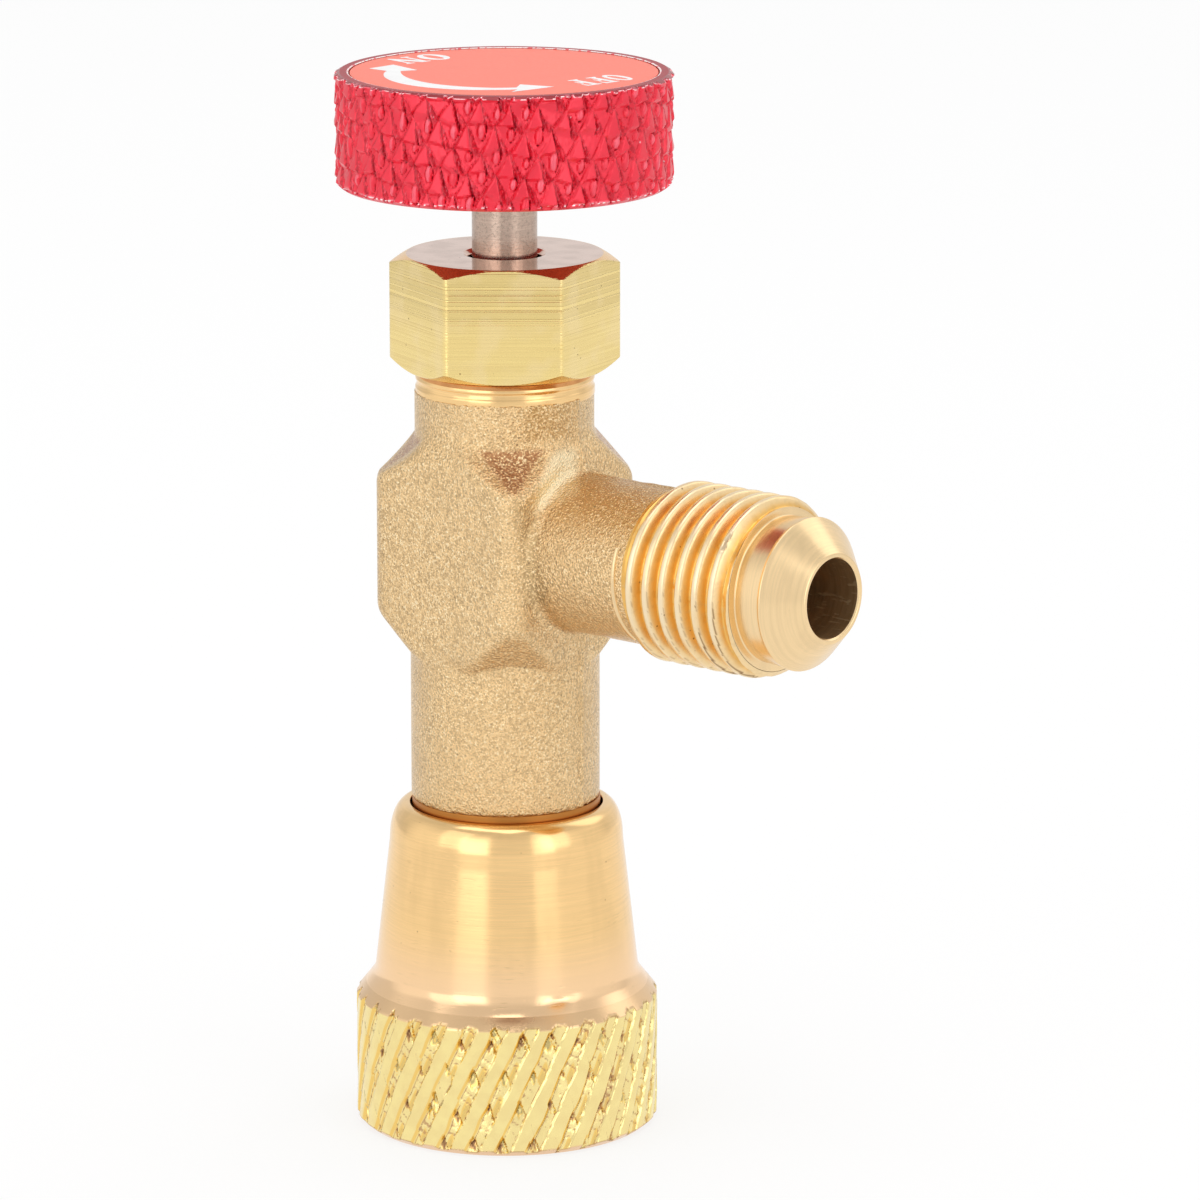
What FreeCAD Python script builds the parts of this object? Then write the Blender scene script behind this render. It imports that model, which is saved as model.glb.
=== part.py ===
import FreeCAD, Part
import math
import os

# Hand valve for charging a refrigeration circuit, in millimetres.
# The frame stands on the bottom face of the swivel nut: +Z runs up the spindle, +X along the flare port.

V = FreeCAD.Vector

# Swivel nut, from its bottom face up
NUT_HEIGHT = 20.3
NUT_KNURL_R = 9.31
NUT_KNURL_HEIGHT = 8.4
NUT_BASE_CHAMFER = 0.35
NUT_WAIST_R = 8.19
NUT_WAIST_RISE = 0.7
NUT_CROWN_R = 7.27
NUT_CROWN_DROP = 2.4
NUT_MOUTH_R = 6.34
NUT_BORE_R = 5.96
NUT_MOUTH_CHAMFER = 0.28
SERVICE_THREAD_R = 4.95
SERVICE_THREAD_DEPTH = 9.0
SERVICE_LEAD_IN = 0.6
RING_GROOVE_HEIGHT = 15.4

# Forged body, each length measured from the one before
NUT_TO_BARREL = 0.36
BARREL_R = 5.89
BARREL_LENGTH = 9.24
BARREL_EDGE = 0.45
BLOCK_LENGTH = 14.0
BLOCK_HALF_FLAT = 6.4
BLOCK_CORNER_REACH = 7.92
SHOULDER_UPPER = 2.8
SHOULDER_TOP_REACH = 5.2
SHOULDER_LOWER = 2.7
SHOULDER_FOOT_REACH = 5.65
FLAT_BEVEL = 1.0
NECK_R = 5.58
NECK_LENGTH = 3.7
NECK_LIP = 0.2
FORGING_ROUND = 0.55
TAIL_CLEARANCE = 0.2
TAIL_FLOAT = 0.5
TAIL_END_CHAMFER = 0.3
BORE_RELIEF = 0.2
LOWER_BORE_R = 1.7
LOWER_BORE_LENGTH = 6.5

# Flare port
PORT_RISE = 7.13
PORT_REACH = 25.85
PORT_NECK_R = 4.86
PORT_ROOT_ROUND = 0.8
THREAD_R = 5.555
THREAD_LENGTH = 8.25
THREAD_CHAMFER = 0.5
THREAD_PITCH = 1.27
THREAD_CRESTS = 6
THREAD_DEPTH = 0.65
THREAD_CREST_WIDTH = 0.42
THREAD_ROOT_WIDTH = 0.26
FIRST_CREST = 0.83
NOSE_CYLINDER_R = 4.5
NOSE_CYLINDER_LENGTH = 2.05
FLARE_RIDGE_R = 4.65
FLARE_RIM_R = 2.72
PORT_BORE_R = 2.42
PORT_BORE_EDGE = 0.3
PORT_BORE_DEPTH = 6.0
PORT_PASSAGE_R = 2.0

# Hexagonal bonnet nut
BONNET_LIFT = 0.14
HEX_ACROSS_FLATS = 12.3
HEX_HEIGHT = 7.06
HEX_TURN_DEG = -49.5
HEX_FACE_R = 6.05
HEX_CORNER_BREAK = 0.12
HEX_TOP_DROP = 0.55
HEX_FOOT_DROP = 0.67
SHANK_R = 4.3
SHANK_LENGTH = 7.7
SHANK_CLEARANCE = 0.05
BONNET_ROOF = 2.0
STEM_HOLE_CLEARANCE = 0.3
STEM_HOLE_EDGE = 0.25

# Spindle and its thread
STEM_R = 2.0
STEM_SHOWN = 4.27
STEM_TRAVEL = 3.0
LIFT_THREAD_R = 2.95
LIFT_THREAD_LENGTH = 3.5
LIFT_WAIST_R = 2.2
PISTON_R = 2.72
PISTON_LAND = 0.5
SEAL_GROOVE_WIDTH = 0.95
SEAL_GROOVE_DEPTH = 0.8
SEAL_CORD_R = 0.4
SPINDLE_FOOT_R = 1.7
SPINDLE_FOOT_LENGTH = 4.0
RUNNING_GAP = 0.06
STOP_GAP = 0.1

# Core depressor pin
PIN_R = 0.8
PIN_SOCKET_DEPTH = 3.6
PIN_TIP_R = 0.45
PIN_TIP_TAPER = 0.8
PIN_SET_BACK = 0.1

# Knob
KNOB_R = 10.3
KNOB_HEIGHT = 7.08
KNOB_TOP_CHAMFER_WIDTH = 0.75
KNOB_TOP_CHAMFER_DROP = 0.4
KNOB_FOOT_CHAMFER = 0.3
LABEL_RIM_WIDTH = 0.22
LABEL_RECESS = 0.2
LABEL_THICKNESS = 0.12
LABEL_EDGE_GAP = 0.06
DRIVE_FLAT = 1.6
DRIVE_DEPTH = 4.2
DRIVE_GAP = 0.03
SCREW_WELL_R = 2.6
SCREW_HEAD_R = 2.2
SCREW_HEAD_HEIGHT = 1.5
SCREW_R = 1.0
SCREW_LENGTH = 5.0
SCREW_SLOT_WIDTH = 0.6
SCREW_SLOT_DEPTH = 0.7

# Seals and the wire ring
GASKET_R = 4.0
GASKET_HOLE_R = 1.5
GASKET_PROUD = 0.3
GASKET_SEAT_DEPTH = 1.4
RING_WIRE_R = 0.42
RING_OPENING_DEG = 24.0
GROOVE_CLEARANCE = 0.08
BONNET_SEAL_CORD_R = 0.28
BONNET_SEAL_SEAT = 0.85
SEAL_GAP = 0.02

# Diamond knurl
KNURL_DIAMOND_HEIGHT = 3.1
KNURL_DEPTH = 0.55
KNOB_DIAMONDS = 41
NUT_DIAMONDS = 42

# Heights worked out from the lengths above
BARREL_FOOT_Z = NUT_HEIGHT + NUT_TO_BARREL
BLOCK_FOOT_Z = BARREL_FOOT_Z + BARREL_LENGTH
BLOCK_TOP_Z = BLOCK_FOOT_Z + BLOCK_LENGTH
NECK_TOP_Z = BLOCK_TOP_Z + NECK_LENGTH
PORT_Z = BLOCK_FOOT_Z + PORT_RISE
HEX_FOOT_Z = NECK_TOP_Z + BONNET_LIFT
HEX_TOP_Z = HEX_FOOT_Z + HEX_HEIGHT
SHANK_END_Z = HEX_FOOT_Z - SHANK_LENGTH
KNOB_FOOT_Z = HEX_TOP_Z + STEM_SHOWN
KNOB_TOP_Z = KNOB_FOOT_Z + KNOB_HEIGHT
TAIL_R = NUT_BORE_R - TAIL_CLEARANCE
TAIL_FOOT_Z = SERVICE_THREAD_DEPTH + TAIL_FLOAT
GASKET_FOOT_Z = TAIL_FOOT_Z - GASKET_PROUD

# The spindle at its highest place, with the lift thread just under the bonnet's roof
LIFT_BORE_R = LIFT_THREAD_R + RUNNING_GAP
SEAL_BORE_R = PISTON_R + RUNNING_GAP
MAIN_BORE_R = SEAL_BORE_R + BORE_RELIEF
LIFT_TOP_Z = HEX_TOP_Z - BONNET_ROOF - STOP_GAP
LIFT_FOOT_Z = LIFT_TOP_Z - LIFT_THREAD_LENGTH
LIFT_BORE_FOOT_Z = LIFT_FOOT_Z - STEM_TRAVEL - STOP_GAP
PISTON_LENGTH = 3 * PISTON_LAND + 2 * SEAL_GROOVE_WIDTH
PISTON_TOP_Z = LIFT_BORE_FOOT_Z - STOP_GAP
PISTON_FOOT_Z = PISTON_TOP_Z - PISTON_LENGTH
SPINDLE_FOOT_Z = PISTON_FOOT_Z - SPINDLE_FOOT_LENGTH
DRIVE_TOP_Z = KNOB_FOOT_Z + DRIVE_DEPTH
SEAL_RING_R = SEAL_BORE_R - SEAL_GAP - SEAL_CORD_R
PIN_TIP_Z = GASKET_FOOT_Z + PIN_SET_BACK


def lathe(*points):
    """Solid turned about Z from its closed half section. A point is (r, z), or (mid r, mid z, r, z) for an arc."""
    edges = []
    first = V(points[0][0], 0, points[0][1])
    here = first
    for point in points[1:] + (points[0],):
        there = V(point[-2], 0, point[-1])
        if len(point) == 4:
            middle = V(point[0], 0, point[1])
            edges.append(Part.Arc(here, middle, there).toShape())
        elif here.distanceToPoint(there) > 1e-7:
            edges.append(Part.LineSegment(here, there).toShape())
        here = there
    section = Part.Face(Part.Wire(edges))
    return section.revolve(V(0, 0, 0), V(0, 0, 1), 360)


def rounded(start_r, start_z, end_r, end_z):
    """Arc for lathe that leaves its start straight up and leans in to its end."""
    lean = math.atan2(start_r - end_r, end_z - start_z)
    arc_r = math.hypot(start_r - end_r, end_z - start_z) / (2 * math.sin(lean))
    return (start_r - arc_r + arc_r * math.cos(lean), start_z + arc_r * math.sin(lean), end_r, end_z)


def rod(radius, low, high):
    """Upright cylinder on the Z axis between two heights."""
    return Part.makeCylinder(radius, high - low, V(0, 0, low))


def side_rod(radius, start, end):
    """Cylinder along the flare port's axis between two distances from the spindle."""
    return Part.makeCylinder(radius, end - start, V(start, 0, PORT_Z), V(1, 0, 0))


def ring_cord(ring_r, cord_r, height):
    """Round cord bent to a full ring, such as an O-ring."""
    return Part.makeTorus(ring_r, cord_r, V(0, 0, height))


def write(shape, name):
    """One STEP file for one named piece."""
    shape.exportStep("parts/" + name + ".step")


def diamond_band(diamonds, outer_r, low, high):
    """Closed drum whose skin is a diamond knurl: a four-sided pyramid in each cell of a crossed helix."""
    half_height = KNURL_DIAMOND_HEIGHT / 2
    rows = math.ceil((high - low) / half_height)
    start = (low + high - rows * half_height) / 2
    columns = 2 * diamonds

    def corner(column, row):
        peak = (column + row) % 2
        radius = outer_r if peak else outer_r - KNURL_DEPTH
        turn = math.pi * (column % columns) / diamonds
        return V(radius * math.cos(turn), radius * math.sin(turn), start + row * half_height)

    def facet(*places):
        return Part.Face(Part.makePolygon([corner(*p) for p in places + (places[0],)]))

    faces = []
    for row in range(rows):
        for column in range(columns):
            here, right = (column, row), (column + 1, row)
            above, across = (column, row + 1), (column + 1, row + 1)
            if (column + row) % 2:
                faces += [facet(here, right, above), facet(right, across, above)]
            else:
                faces += [facet(here, right, across), facet(here, across, above)]
    for row in (0, rows):
        faces.append(facet(*[(column, row) for column in range(columns)]))
    shell = Part.makeShell(faces)
    shell.sewShape()
    band = Part.makeSolid(shell)
    if band.Volume < 0:
        band.reverse()
    return band


def make_swivel_nut():
    """Knurled nut that swivels on the body's tail and screws on to the service port."""
    waist_z = NUT_KNURL_HEIGHT + NUT_WAIST_RISE
    crown_z = NUT_HEIGHT - NUT_CROWN_DROP
    grip_form = lathe(
        (0, 0),
        (NUT_KNURL_R - NUT_BASE_CHAMFER, 0),
        (NUT_KNURL_R, NUT_BASE_CHAMFER),
        (NUT_KNURL_R, NUT_KNURL_HEIGHT),
        (NUT_WAIST_R, waist_z),
        (0, waist_z),
    )
    grip = diamond_band(NUT_DIAMONDS, NUT_KNURL_R, 0, waist_z).common(grip_form)
    cone = lathe(
        (0, waist_z),
        (NUT_WAIST_R, waist_z),
        (NUT_CROWN_R, crown_z),
        rounded(NUT_CROWN_R, crown_z, NUT_MOUTH_R, NUT_HEIGHT),
        (0, NUT_HEIGHT),
    )
    groove_r = NUT_BORE_R + RING_WIRE_R - TAIL_CLEARANCE / 2 + GROOVE_CLEARANCE
    groove_half = RING_WIRE_R + GROOVE_CLEARANCE
    inside = lathe(
        (0, 0),
        (SERVICE_THREAD_R + SERVICE_LEAD_IN, 0),
        (SERVICE_THREAD_R, SERVICE_LEAD_IN),
        (SERVICE_THREAD_R, SERVICE_THREAD_DEPTH),
        (NUT_BORE_R, SERVICE_THREAD_DEPTH),
        (NUT_BORE_R, RING_GROOVE_HEIGHT - groove_half),
        (groove_r, RING_GROOVE_HEIGHT - groove_half),
        (groove_r, RING_GROOVE_HEIGHT + groove_half),
        (NUT_BORE_R, RING_GROOVE_HEIGHT + groove_half),
        (NUT_BORE_R, NUT_HEIGHT - NUT_MOUTH_CHAMFER),
        (NUT_BORE_R + NUT_MOUTH_CHAMFER, NUT_HEIGHT),
        (0, NUT_HEIGHT),
    )
    return grip.fuse(cone).cut(inside)


def crossed_prisms(foot_reach, middle_reach, top_reach, foot_rise, top_drop, turn):
    """Four-sided block whose sides lean in above and below a straight middle, turned about Z."""
    outline = [
        V(-foot_reach, 0, BLOCK_FOOT_Z),
        V(-middle_reach, 0, BLOCK_FOOT_Z + foot_rise),
        V(-middle_reach, 0, BLOCK_TOP_Z - top_drop),
        V(-top_reach, 0, BLOCK_TOP_Z),
        V(top_reach, 0, BLOCK_TOP_Z),
        V(middle_reach, 0, BLOCK_TOP_Z - top_drop),
        V(middle_reach, 0, BLOCK_FOOT_Z + foot_rise),
        V(foot_reach, 0, BLOCK_FOOT_Z),
    ]
    face = Part.Face(Part.makePolygon(outline + outline[:1]))
    face.translate(V(0, -2 * middle_reach, 0))
    along = face.extrude(V(0, 4 * middle_reach, 0))
    across = along.copy()
    across.rotate(V(0, 0, 0), V(0, 0, 1), 90)
    block = along.common(across)
    block.rotate(V(0, 0, 0), V(0, 0, 1), turn)
    return block


def from_port_axis(point):
    """Distance of a point from the flare port's axis."""
    return math.hypot(point.y, point.z - PORT_Z)


def round_edges(forging):
    """Soft root where the port grows out of the block, then the block's other long edges."""
    root = []
    for edge in forging.Edges:
        points = edge.discretize(9)
        on_neck = all(abs(from_port_axis(point) - PORT_NECK_R) < 0.01 for point in points)
        if on_neck and 3.0 < points[0].x < BLOCK_HALF_FLAT + 0.1 and edge.Length > 0.05:
            root.append(edge)
    forging = forging.makeFillet(PORT_ROOT_ROUND, root)
    near_root = PORT_NECK_R + PORT_ROOT_ROUND + 0.1
    outer = []
    for edge in forging.Edges:
        points = edge.discretize(9)
        straight = abs(points[0].distanceToPoint(points[-1]) - edge.Length) < 1e-6
        clear = all(point.x < 4.0 or from_port_axis(point) > near_root for point in points)
        if straight and clear and edge.Length > 2 * FORGING_ROUND:
            outer.append(edge)
    return forging.makeFillet(FORGING_ROUND, outer)


def make_body():
    """Forged tee: square block with cut corners, round neck and barrel, turned ends and flare port."""
    flats = crossed_prisms(
        BARREL_R, BLOCK_HALF_FLAT, NECK_R, FLAT_BEVEL, FLAT_BEVEL, 0
    )
    corners = crossed_prisms(
        SHOULDER_FOOT_REACH, BLOCK_CORNER_REACH, SHOULDER_TOP_REACH, SHOULDER_LOWER, SHOULDER_UPPER, 45
    )
    port_neck = side_rod(PORT_NECK_R, 0, PORT_REACH - THREAD_LENGTH)
    forging = round_edges(flats.common(corners).fuse(port_neck))

    column = lathe(
        (0, TAIL_FOOT_Z),
        (TAIL_R - TAIL_END_CHAMFER, TAIL_FOOT_Z),
        (TAIL_R, TAIL_FOOT_Z + TAIL_END_CHAMFER),
        (TAIL_R, BARREL_FOOT_Z),
        (BARREL_R - BARREL_EDGE, BARREL_FOOT_Z),
        (BARREL_R, BARREL_FOOT_Z + BARREL_EDGE),
        (BARREL_R, BLOCK_FOOT_Z + FORGING_ROUND),
        (NECK_R, BLOCK_TOP_Z - FORGING_ROUND),
        (NECK_R, NECK_TOP_Z - NECK_LIP),
        (NECK_R - NECK_LIP, NECK_TOP_Z),
        (0, NECK_TOP_Z),
    )
    body = forging.fuse(column).fuse(make_port_end())
    return body.cut(make_body_hollow())


def thread_profile(start_x, end_x):
    """Half section of the flare thread, as a row of equal ridges with flat crests and narrow roots."""
    root_r = THREAD_R - THREAD_DEPTH
    half_crest = THREAD_CREST_WIDTH / 2
    half_root = THREAD_ROOT_WIDTH / 2
    points = []
    for ridge in range(THREAD_CRESTS):
        crest_x = start_x + FIRST_CREST + ridge * THREAD_PITCH
        if ridge:
            root_x = crest_x - THREAD_PITCH / 2
            points += [(root_r, root_x - half_root), (root_r, root_x + half_root)]
        points += [(THREAD_R, crest_x - half_crest), (THREAD_R, crest_x + half_crest)]
    points[-1] = (THREAD_R, end_x - THREAD_CHAMFER)
    return points


def make_port_end():
    """Turned end of the flare port: ridged thread, short nose and 45 degree flare cone."""
    rim_x = PORT_REACH
    cone_x = rim_x - (FLARE_RIDGE_R - FLARE_RIM_R)
    thread_end_x = cone_x - NOSE_CYLINDER_LENGTH
    thread_start_x = thread_end_x - THREAD_LENGTH
    end = lathe(
        (0, thread_start_x),
        (PORT_NECK_R, thread_start_x),
        *thread_profile(thread_start_x, thread_end_x),
        (THREAD_R - THREAD_CHAMFER, thread_end_x),
        (NOSE_CYLINDER_R, thread_end_x),
        (NOSE_CYLINDER_R, cone_x - (FLARE_RIDGE_R - NOSE_CYLINDER_R)),
        (FLARE_RIDGE_R, cone_x),
        (FLARE_RIM_R, rim_x),
        (0, rim_x),
    )
    end.rotate(V(0, 0, 0), V(0, 1, 0), 90)
    end.translate(V(0, 0, PORT_Z))
    return end


def make_body_hollow():
    """Everything bored out of the body: main bore, bonnet seat, ring groove, gasket seat and port bore."""
    bonnet_bore_r = SHANK_R + SHANK_CLEARANCE
    ring_groove_r = TAIL_R - RING_WIRE_R + TAIL_CLEARANCE / 2 - GROOVE_CLEARANCE
    groove_half = RING_WIRE_R + GROOVE_CLEARANCE
    seat_z = TAIL_FOOT_Z + GASKET_SEAT_DEPTH
    lower_top = seat_z + LOWER_BORE_LENGTH
    main = lathe(
        (0, TAIL_FOOT_Z),
        (GASKET_R, TAIL_FOOT_Z),
        (GASKET_R, seat_z),
        (LOWER_BORE_R, seat_z),
        (LOWER_BORE_R, lower_top),
        (MAIN_BORE_R, lower_top + MAIN_BORE_R - LOWER_BORE_R),
        (MAIN_BORE_R, SHANK_END_Z),
        (bonnet_bore_r, SHANK_END_Z),
        (bonnet_bore_r, NECK_TOP_Z - BONNET_SEAL_SEAT),
        (bonnet_bore_r + BONNET_SEAL_SEAT, NECK_TOP_Z),
        (0, NECK_TOP_Z),
    )
    groove = rod(TAIL_R + TAIL_CLEARANCE, RING_GROOVE_HEIGHT - groove_half, RING_GROOVE_HEIGHT + groove_half)
    groove = groove.cut(rod(ring_groove_r, RING_GROOVE_HEIGHT - groove_half, RING_GROOVE_HEIGHT + groove_half))
    port_bore = lathe(
        (0, 0),
        (PORT_PASSAGE_R, 0),
        (PORT_PASSAGE_R, PORT_REACH - PORT_BORE_DEPTH - PORT_BORE_R + PORT_PASSAGE_R),
        (PORT_BORE_R, PORT_REACH - PORT_BORE_DEPTH),
        (PORT_BORE_R, PORT_REACH - PORT_BORE_EDGE),
        (PORT_BORE_R + PORT_BORE_EDGE, PORT_REACH),
        (0, PORT_REACH),
    )
    port_bore.rotate(V(0, 0, 0), V(0, 1, 0), 90)
    port_bore.translate(V(0, 0, PORT_Z))
    return main.fuse([port_bore, groove])


def make_bonnet():
    """Hexagonal nut that closes the neck, with the lift thread and the seal bore inside its shank."""
    corner_r = HEX_ACROSS_FLATS / 2 / math.cos(math.pi / 6)
    turns = [math.radians(HEX_TURN_DEG + 30 + 60 * k) for k in range(7)]
    ring = [V(corner_r * math.cos(t), corner_r * math.sin(t), HEX_FOOT_Z) for t in turns]
    hexagon = Part.Face(Part.makePolygon(ring)).extrude(V(0, 0, HEX_HEIGHT))
    broken_r = corner_r - HEX_CORNER_BREAK
    form = lathe(
        (0, HEX_FOOT_Z),
        (HEX_FACE_R, HEX_FOOT_Z),
        (broken_r, HEX_FOOT_Z + HEX_FOOT_DROP),
        (broken_r, HEX_TOP_Z - HEX_TOP_DROP),
        (HEX_FACE_R, HEX_TOP_Z),
        (0, HEX_TOP_Z),
    )
    shank = rod(SHANK_R, SHANK_END_Z, HEX_FOOT_Z + HEX_FOOT_DROP)
    hole_r = STEM_R + STEM_HOLE_CLEARANCE
    inside = lathe(
        (0, SHANK_END_Z),
        (SEAL_BORE_R, SHANK_END_Z),
        (SEAL_BORE_R, LIFT_BORE_FOOT_Z),
        (LIFT_BORE_R, LIFT_BORE_FOOT_Z),
        (LIFT_BORE_R, LIFT_TOP_Z + STOP_GAP),
        (hole_r, LIFT_TOP_Z + STOP_GAP),
        (hole_r, HEX_TOP_Z - STEM_HOLE_EDGE),
        (hole_r + STEM_HOLE_EDGE, HEX_TOP_Z),
        (0, HEX_TOP_Z),
    )
    return hexagon.common(form).fuse(shank).cut(inside)


def drive_key(round_r, flat, low, high):
    """Round bar with two flats, the form that turns the spindle with the knob."""
    bar = rod(round_r, low, high)
    slab = Part.makeBox(4 * round_r, 2 * flat, high - low, V(-2 * round_r, -flat, low))
    return bar.common(slab)


def seal_groove_levels():
    """Middle heights of the two seal grooves, upper first."""
    upper = PISTON_TOP_Z - PISTON_LAND - SEAL_GROOVE_WIDTH / 2
    return upper, upper - PISTON_LAND - SEAL_GROOVE_WIDTH


def make_spindle():
    """Turned spindle: drive flats, plain stem, lift thread, waist, sealed piston and foot."""
    turned = lathe(
        (0, SPINDLE_FOOT_Z),
        (SPINDLE_FOOT_R, SPINDLE_FOOT_Z),
        (SPINDLE_FOOT_R, PISTON_FOOT_Z),
        (PISTON_R, PISTON_FOOT_Z),
        (PISTON_R, PISTON_TOP_Z),
        (LIFT_WAIST_R, PISTON_TOP_Z),
        (LIFT_WAIST_R, LIFT_FOOT_Z),
        (LIFT_THREAD_R, LIFT_FOOT_Z),
        (LIFT_THREAD_R, LIFT_TOP_Z),
        (STEM_R, LIFT_TOP_Z),
        (STEM_R, KNOB_FOOT_Z),
        (0, KNOB_FOOT_Z),
    )
    spindle = turned.fuse(drive_key(STEM_R, DRIVE_FLAT, KNOB_FOOT_Z, DRIVE_TOP_Z))
    for middle in seal_groove_levels():
        low, high = middle - SEAL_GROOVE_WIDTH / 2, middle + SEAL_GROOVE_WIDTH / 2
        groove = rod(PISTON_R + RUNNING_GAP, low, high).cut(rod(PISTON_R - SEAL_GROOVE_DEPTH, low, high))
        spindle = spindle.cut(groove)
    screw_hole = rod(SCREW_R + SEAL_GAP, DRIVE_TOP_Z - SCREW_LENGTH - STOP_GAP, DRIVE_TOP_Z)
    socket = rod(PIN_R + SEAL_GAP, SPINDLE_FOOT_Z, SPINDLE_FOOT_Z + PIN_SOCKET_DEPTH)
    return spindle.cut(screw_hole).cut(socket)


def make_depressor_pin():
    """Steel pin pressed into the spindle's foot; its tip pushes the service port's core open."""
    return lathe(
        (0, PIN_TIP_Z),
        (PIN_TIP_R, PIN_TIP_Z),
        (PIN_R, PIN_TIP_Z + PIN_TIP_TAPER),
        (PIN_R, SPINDLE_FOOT_Z + PIN_SOCKET_DEPTH),
        (0, SPINDLE_FOOT_Z + PIN_SOCKET_DEPTH),
    )


def make_knob():
    """Knurled round knob with a shallow recess for the label and a well for its screw."""
    chamfer_r = KNOB_R - KNOB_TOP_CHAMFER_WIDTH
    form = lathe(
        (0, KNOB_FOOT_Z),
        (KNOB_R - KNOB_FOOT_CHAMFER, KNOB_FOOT_Z),
        (KNOB_R, KNOB_FOOT_Z + KNOB_FOOT_CHAMFER),
        (KNOB_R, KNOB_TOP_Z - KNOB_TOP_CHAMFER_DROP),
        (chamfer_r, KNOB_TOP_Z),
        (0, KNOB_TOP_Z),
    )
    knob = diamond_band(KNOB_DIAMONDS, KNOB_R, KNOB_FOOT_Z, KNOB_TOP_Z).common(form)
    recess = rod(chamfer_r - LABEL_RIM_WIDTH, KNOB_TOP_Z - LABEL_RECESS, KNOB_TOP_Z)
    well = rod(SCREW_WELL_R, DRIVE_TOP_Z, KNOB_TOP_Z)
    key_way = drive_key(STEM_R + DRIVE_GAP, DRIVE_FLAT + DRIVE_GAP, KNOB_FOOT_Z, DRIVE_TOP_Z)
    return knob.cut(recess).cut(well).cut(key_way)


def make_knob_label():
    """Thin printed disc in the knob's recess."""
    label_r = KNOB_R - KNOB_TOP_CHAMFER_WIDTH - LABEL_RIM_WIDTH - LABEL_EDGE_GAP
    floor = KNOB_TOP_Z - LABEL_RECESS
    return rod(label_r, floor, floor + LABEL_THICKNESS)


def make_knob_screw():
    """Slotted screw that holds the knob down on the spindle, under the label."""
    head_top = DRIVE_TOP_Z + SCREW_HEAD_HEIGHT
    screw = lathe(
        (0, DRIVE_TOP_Z - SCREW_LENGTH),
        (SCREW_R, DRIVE_TOP_Z - SCREW_LENGTH),
        (SCREW_R, DRIVE_TOP_Z),
        (SCREW_HEAD_R, DRIVE_TOP_Z),
        (SCREW_HEAD_R, head_top - SCREW_SLOT_DEPTH / 2),
        (SCREW_HEAD_R - SCREW_SLOT_DEPTH / 2, head_top),
        (0, head_top),
    )
    slot = Part.makeBox(
        4 * SCREW_HEAD_R,
        SCREW_SLOT_WIDTH,
        SCREW_SLOT_DEPTH,
        V(-2 * SCREW_HEAD_R, -SCREW_SLOT_WIDTH / 2, head_top - SCREW_SLOT_DEPTH),
    )
    return screw.cut(slot)


def make_retaining_ring():
    """Open wire ring, half in the tail's groove and half in the nut's, that keeps the nut on."""
    ring_r = TAIL_R + TAIL_CLEARANCE / 2
    section = Part.Face(Part.Wire(Part.makeCircle(RING_WIRE_R, V(ring_r, 0, RING_GROOVE_HEIGHT), V(0, 1, 0))))
    return section.revolve(V(0, 0, 0), V(0, 0, 1), 360 - RING_OPENING_DEG)


def make_nut_gasket():
    """Rubber washer pressed into the tail's end, which the service port closes on."""
    top = TAIL_FOOT_Z + GASKET_SEAT_DEPTH
    return rod(GASKET_R, GASKET_FOOT_Z, top).cut(rod(GASKET_HOLE_R, GASKET_FOOT_Z, top))


def make_bonnet_seal():
    """O-ring in the corner between the neck's mouth and the hexagon."""
    ring_r = SHANK_R + SEAL_GAP + BONNET_SEAL_CORD_R
    height = HEX_FOOT_Z - SEAL_GAP - BONNET_SEAL_CORD_R
    return ring_cord(ring_r, BONNET_SEAL_CORD_R, height)


def main():
    os.makedirs("parts", exist_ok=True)
    write(make_body(), "valve_body")
    write(make_swivel_nut(), "swivel_nut")
    write(make_retaining_ring(), "nut_retaining_ring")
    write(make_nut_gasket(), "nut_gasket")
    write(make_bonnet(), "bonnet_nut")
    write(make_bonnet_seal(), "bonnet_seal_ring")
    write(make_spindle(), "spindle")
    write(make_depressor_pin(), "depressor_pin")
    upper, lower = seal_groove_levels()
    write(ring_cord(SEAL_RING_R, SEAL_CORD_R, upper), "spindle_upper_seal")
    write(ring_cord(SEAL_RING_R, SEAL_CORD_R, lower), "spindle_lower_seal")
    write(make_knob(), "knob")
    write(make_knob_screw(), "knob_screw")
    write(make_knob_label(), "knob_label")


main()
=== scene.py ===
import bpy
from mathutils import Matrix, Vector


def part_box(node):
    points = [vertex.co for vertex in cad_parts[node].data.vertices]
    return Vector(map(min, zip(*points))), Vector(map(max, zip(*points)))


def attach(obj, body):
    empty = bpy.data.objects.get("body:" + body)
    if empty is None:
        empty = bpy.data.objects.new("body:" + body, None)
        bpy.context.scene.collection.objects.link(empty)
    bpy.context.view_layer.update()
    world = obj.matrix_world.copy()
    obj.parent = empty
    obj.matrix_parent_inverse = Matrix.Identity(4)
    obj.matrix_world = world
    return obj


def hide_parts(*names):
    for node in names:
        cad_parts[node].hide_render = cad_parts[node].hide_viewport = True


bl_info = {
    "name": "Refrigerant charging valve",
    "version": (1, 0, 0),
    "blender": (4, 5, 0),
    "location": "View3D > Sidebar > Valve",
    "description": "Builds a brass charging valve around its packed solids, with finishes, camera and studio",
    "category": "Object",
}

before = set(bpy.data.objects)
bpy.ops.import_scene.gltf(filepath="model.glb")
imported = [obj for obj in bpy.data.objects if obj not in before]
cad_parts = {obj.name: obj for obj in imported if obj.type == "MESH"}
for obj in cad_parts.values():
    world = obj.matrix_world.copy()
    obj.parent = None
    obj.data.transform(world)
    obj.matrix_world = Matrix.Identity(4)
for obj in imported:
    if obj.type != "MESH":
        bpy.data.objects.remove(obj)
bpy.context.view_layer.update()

import math

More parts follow.
